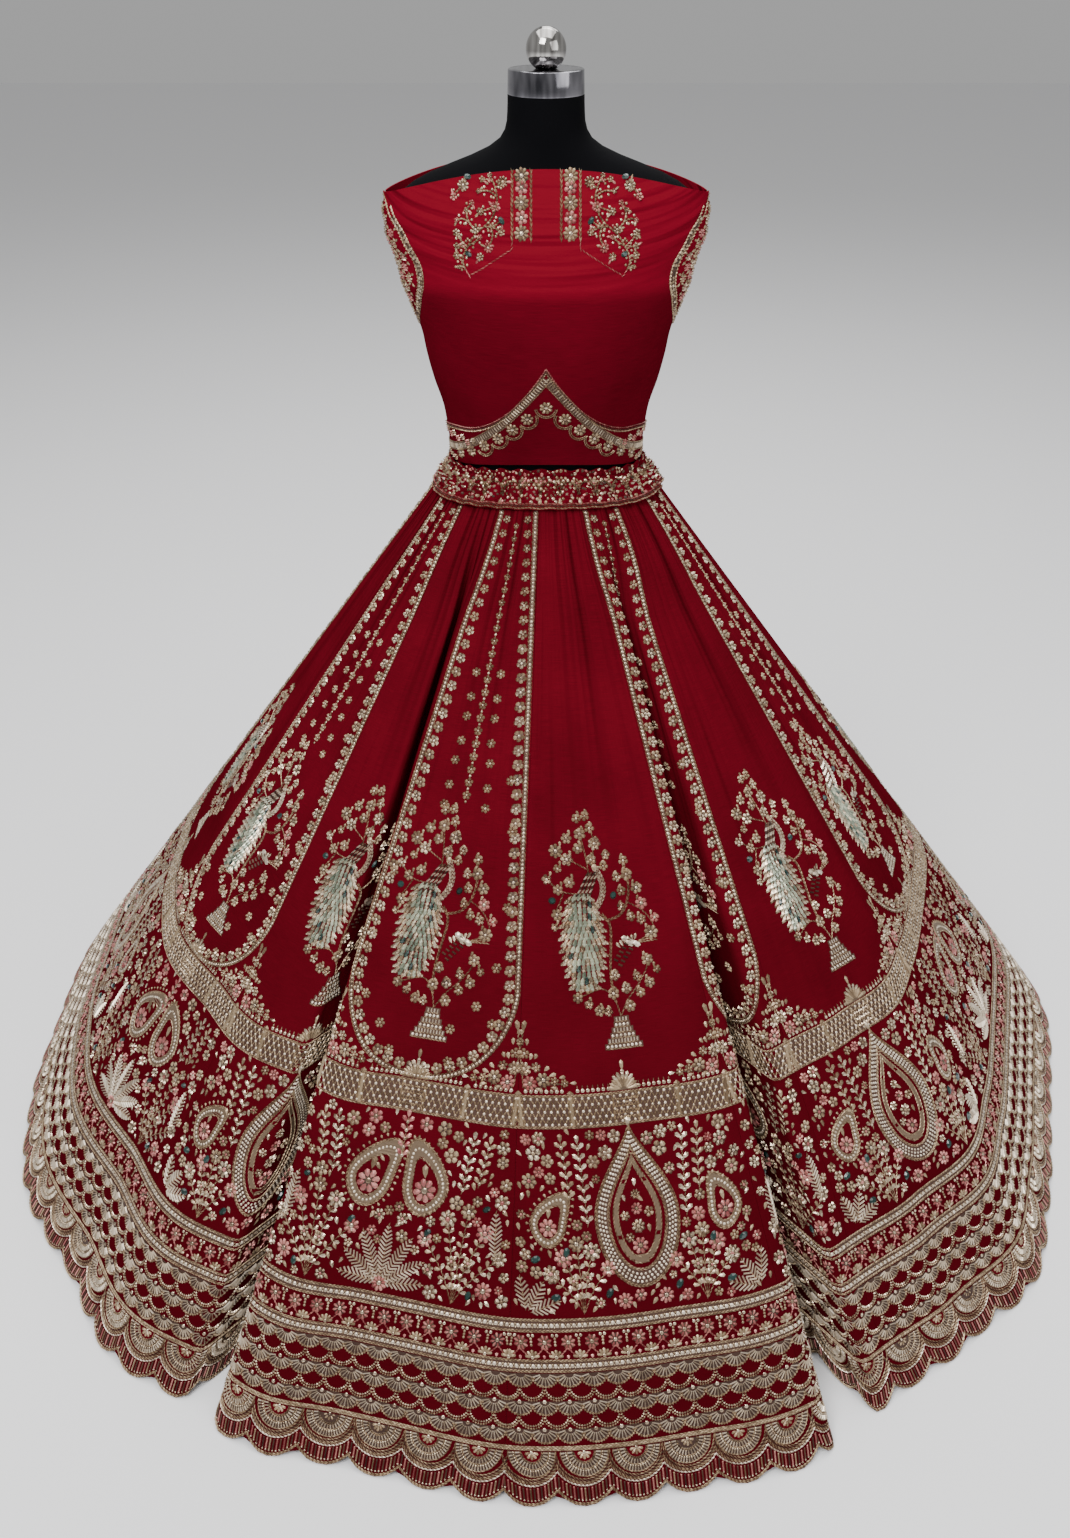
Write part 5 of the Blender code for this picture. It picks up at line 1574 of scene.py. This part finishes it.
jersey, shader, start = finish_material("Black jersey", 0.85, Specular_IOR_Level=0.05, Sheen_Weight=0.0)
spot = start.node("ShaderNodeTexCoord", out=3)
nap = start.node("ShaderNodeTexNoise", {"Vector": spot, "Scale": 900.0, "Detail": 3.0})
patch = start.node("ShaderNodeTexNoise", {"Vector": spot, "Scale": 14.0, "Detail": 2.0})
dust = nap * 0.6 + patch * 0.4
join(dust.mixed((0.0012, 0.0012, 0.0016, 1), (0.0034, 0.0034, 0.0044, 1)), shader, "Base Color")
join(0.78 + nap * 0.18, shader, "Roughness")
join(start.node("ShaderNodeBump", {"Strength": 0.3, "Distance": 0.0004, "Height": nap}), shader, "Normal")
form_body.data.materials.append(jersey)
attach(form_body, "root")
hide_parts("form_torso")



def polished_metal(name, dark, light, streaks, roughness):
    """Polished metal with a little haze; its colour has dark and light streaks, partly from the polishing wheel and
    partly painted reflections.
    """
    made, shader, start = finish_material(name, roughness, 1.0)
    spot = start.node("ShaderNodeTexCoord", out=3)
    across = start.node("ShaderNodeSeparateXYZ", {0: spot})
    height = start.node("ShaderNodeSeparateXYZ", {0: spot}, out=2)
    lane = start.node("ShaderNodeCombineXYZ", {0: across * streaks, 2: height * 14.0})
    mottle = start.node("ShaderNodeTexNoise", {"Vector": lane, "Scale": 1.0, "Detail": 2.0})
    haze = start.node("ShaderNodeTexNoise", {"Vector": spot, "Scale": 420.0, "Detail": 2.0})
    # Painted reflection: these dark and light bands stand in part for reflections, besides the polishing streaks.
    join(mottle.above(0.5, 0.30).mixed((*dark, 1), (*light, 1)), shader, "Base Color")
    join(roughness * 0.7 + haze * roughness * 0.6, shader, "Roughness")
    return made


def turned(name, profile, metal):
    """A smooth body turned about the vertical axis, with rounded rims."""
    angle = np.arange(64) * 2 * math.pi / 64
    body = np.array([[(r * math.cos(a), r * math.sin(a), z) for a in angle] for r, z in profile])
    quads = [(k * 64 + j, (k + 1) * 64 + j, (k + 1) * 64 + (j + 1) % 64, k * 64 + (j + 1) % 64)
             for k in range(len(profile) - 1) for j in range(64)]
    quads += [tuple(range(64)), tuple(reversed(range((len(profile) - 1) * 64, len(profile) * 64)))]
    mesh = bpy.data.meshes.new(name + "_body")
    mesh.from_pydata(body.reshape(-1, 3), [], [face[::-1] for face in quads])
    mesh.shade_smooth()
    mesh.set_sharp_from_angle(angle=math.radians(35))
    made = bpy.data.objects.new(name + "_body", mesh)
    bpy.context.scene.collection.objects.link(made)
    mesh.materials.append(metal)
    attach(made, "root")
    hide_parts(name)


# Painted reflection: the dark colours of chrome and steel stand for the dark surroundings they would reflect.
chrome = polished_metal("Polished chrome", (0.07, 0.07, 0.08), (0.36, 0.35, 0.38), 70.0, 0.12)
steel = polished_metal("Polished steel", (0.12, 0.11, 0.105), (0.72, 0.70, 0.67), 110.0, 0.10)
CAP_LOW = FORM_TOP[0][0] + SEAM_GAP
CAP_HIGH = CAP_LOW + 0.0238
turned("neck_cap", (
    (0.0380, CAP_LOW), (0.0411, CAP_LOW), (0.0413, CAP_LOW + 0.0010), (0.0407, CAP_HIGH - 0.0012),
    (0.0404, CAP_HIGH - 0.0004), (0.0397, CAP_HIGH), (0.0300, CAP_HIGH),
), chrome)
BALL = 0.0214
tilts = np.radians(np.linspace(-58, 89, 30))
middle = CAP_HIGH + SEAM_GAP + BALL * math.sin(math.radians(58))
turned("neck_ball", [(BALL * math.cos(t), middle + BALL * math.sin(t)) for t in tilts], steel)
enamel, shader, start = finish_material("Black enamel", 0.35, Coat_Weight=0.3)
spot = start.node("ShaderNodeTexCoord", out=3)
peel = start.node("ShaderNodeTexNoise", {"Vector": spot, "Scale": 260.0, "Detail": 2.0})
join(peel.mixed((0.010, 0.010, 0.011, 1), (0.020, 0.020, 0.022, 1)), shader, "Base Color")
join(0.28 + peel * 0.16, shader, "Roughness")
for name, metal in (("stand_pole", chrome), ("stand_base", enamel)):
    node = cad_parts[name]
    node.data.materials.clear()
    node.data.materials.append(metal)


# The picture is taken from a little above, in front, on a white floor in soft light.
floor_mesh = bpy.data.meshes.new("floor")
floor_mesh.from_pydata([(-12, -12, 0), (12, -12, 0), (12, 12, 0), (-12, 12, 0)], [], [(0, 1, 2, 3)])
floor = bpy.data.objects.new("floor", floor_mesh)
bpy.context.scene.collection.objects.link(floor)
pale, shader, start = finish_material("Pale floor", 0.75, Specular_IOR_Level=0.1)
shader.inputs["Base Color"].default_value = (0.92, 0.92, 0.93, 1)
floor.data.materials.append(pale)

camera_data = bpy.data.cameras.new("camera")
camera_data.lens = 31.87
camera_data.sensor_width = 36
camera_data.shift_x = -0.0072
camera_data.shift_y = 0.0038
camera = bpy.data.objects.new("camera", camera_data)
camera.location = (0, -1.612, 1.52)
camera.rotation_euler = (math.radians(56.7), 0, 0)
bpy.context.scene.collection.objects.link(camera)
bpy.context.scene.camera = camera

for name, spot, size, power in (
    ("key", (-1.1, -2.3, 3.7), 1.8, 145), ("fill", (2.5, -2.0, 2.3), 2.6, 42), ("top", (0, 0.3, 3.6), 3.0, 85),
    ("rear", (0.5, 2.9, 3.9), 2.2, 50),
):
    lamp = bpy.data.lights.new(name, "AREA")
    lamp.energy = power
    lamp.size = size
    light = bpy.data.objects.new(name, lamp)
    light.location = spot
    toward = np.array([0, 0, 0.7]) - np.array(spot)
    light.rotation_euler = (
        math.atan2(math.hypot(toward[0], toward[1]), -toward[2]), 0, math.atan2(toward[1], toward[0]) - math.pi / 2
    )
    bpy.context.scene.collection.objects.link(light)
world = bpy.data.worlds.new("studio")
bpy.context.scene.world = world
world.use_nodes = True
world.node_tree.nodes["Background"].inputs[0].default_value = (1, 1, 1, 1)
world.node_tree.nodes["Background"].inputs[1].default_value = 0.40
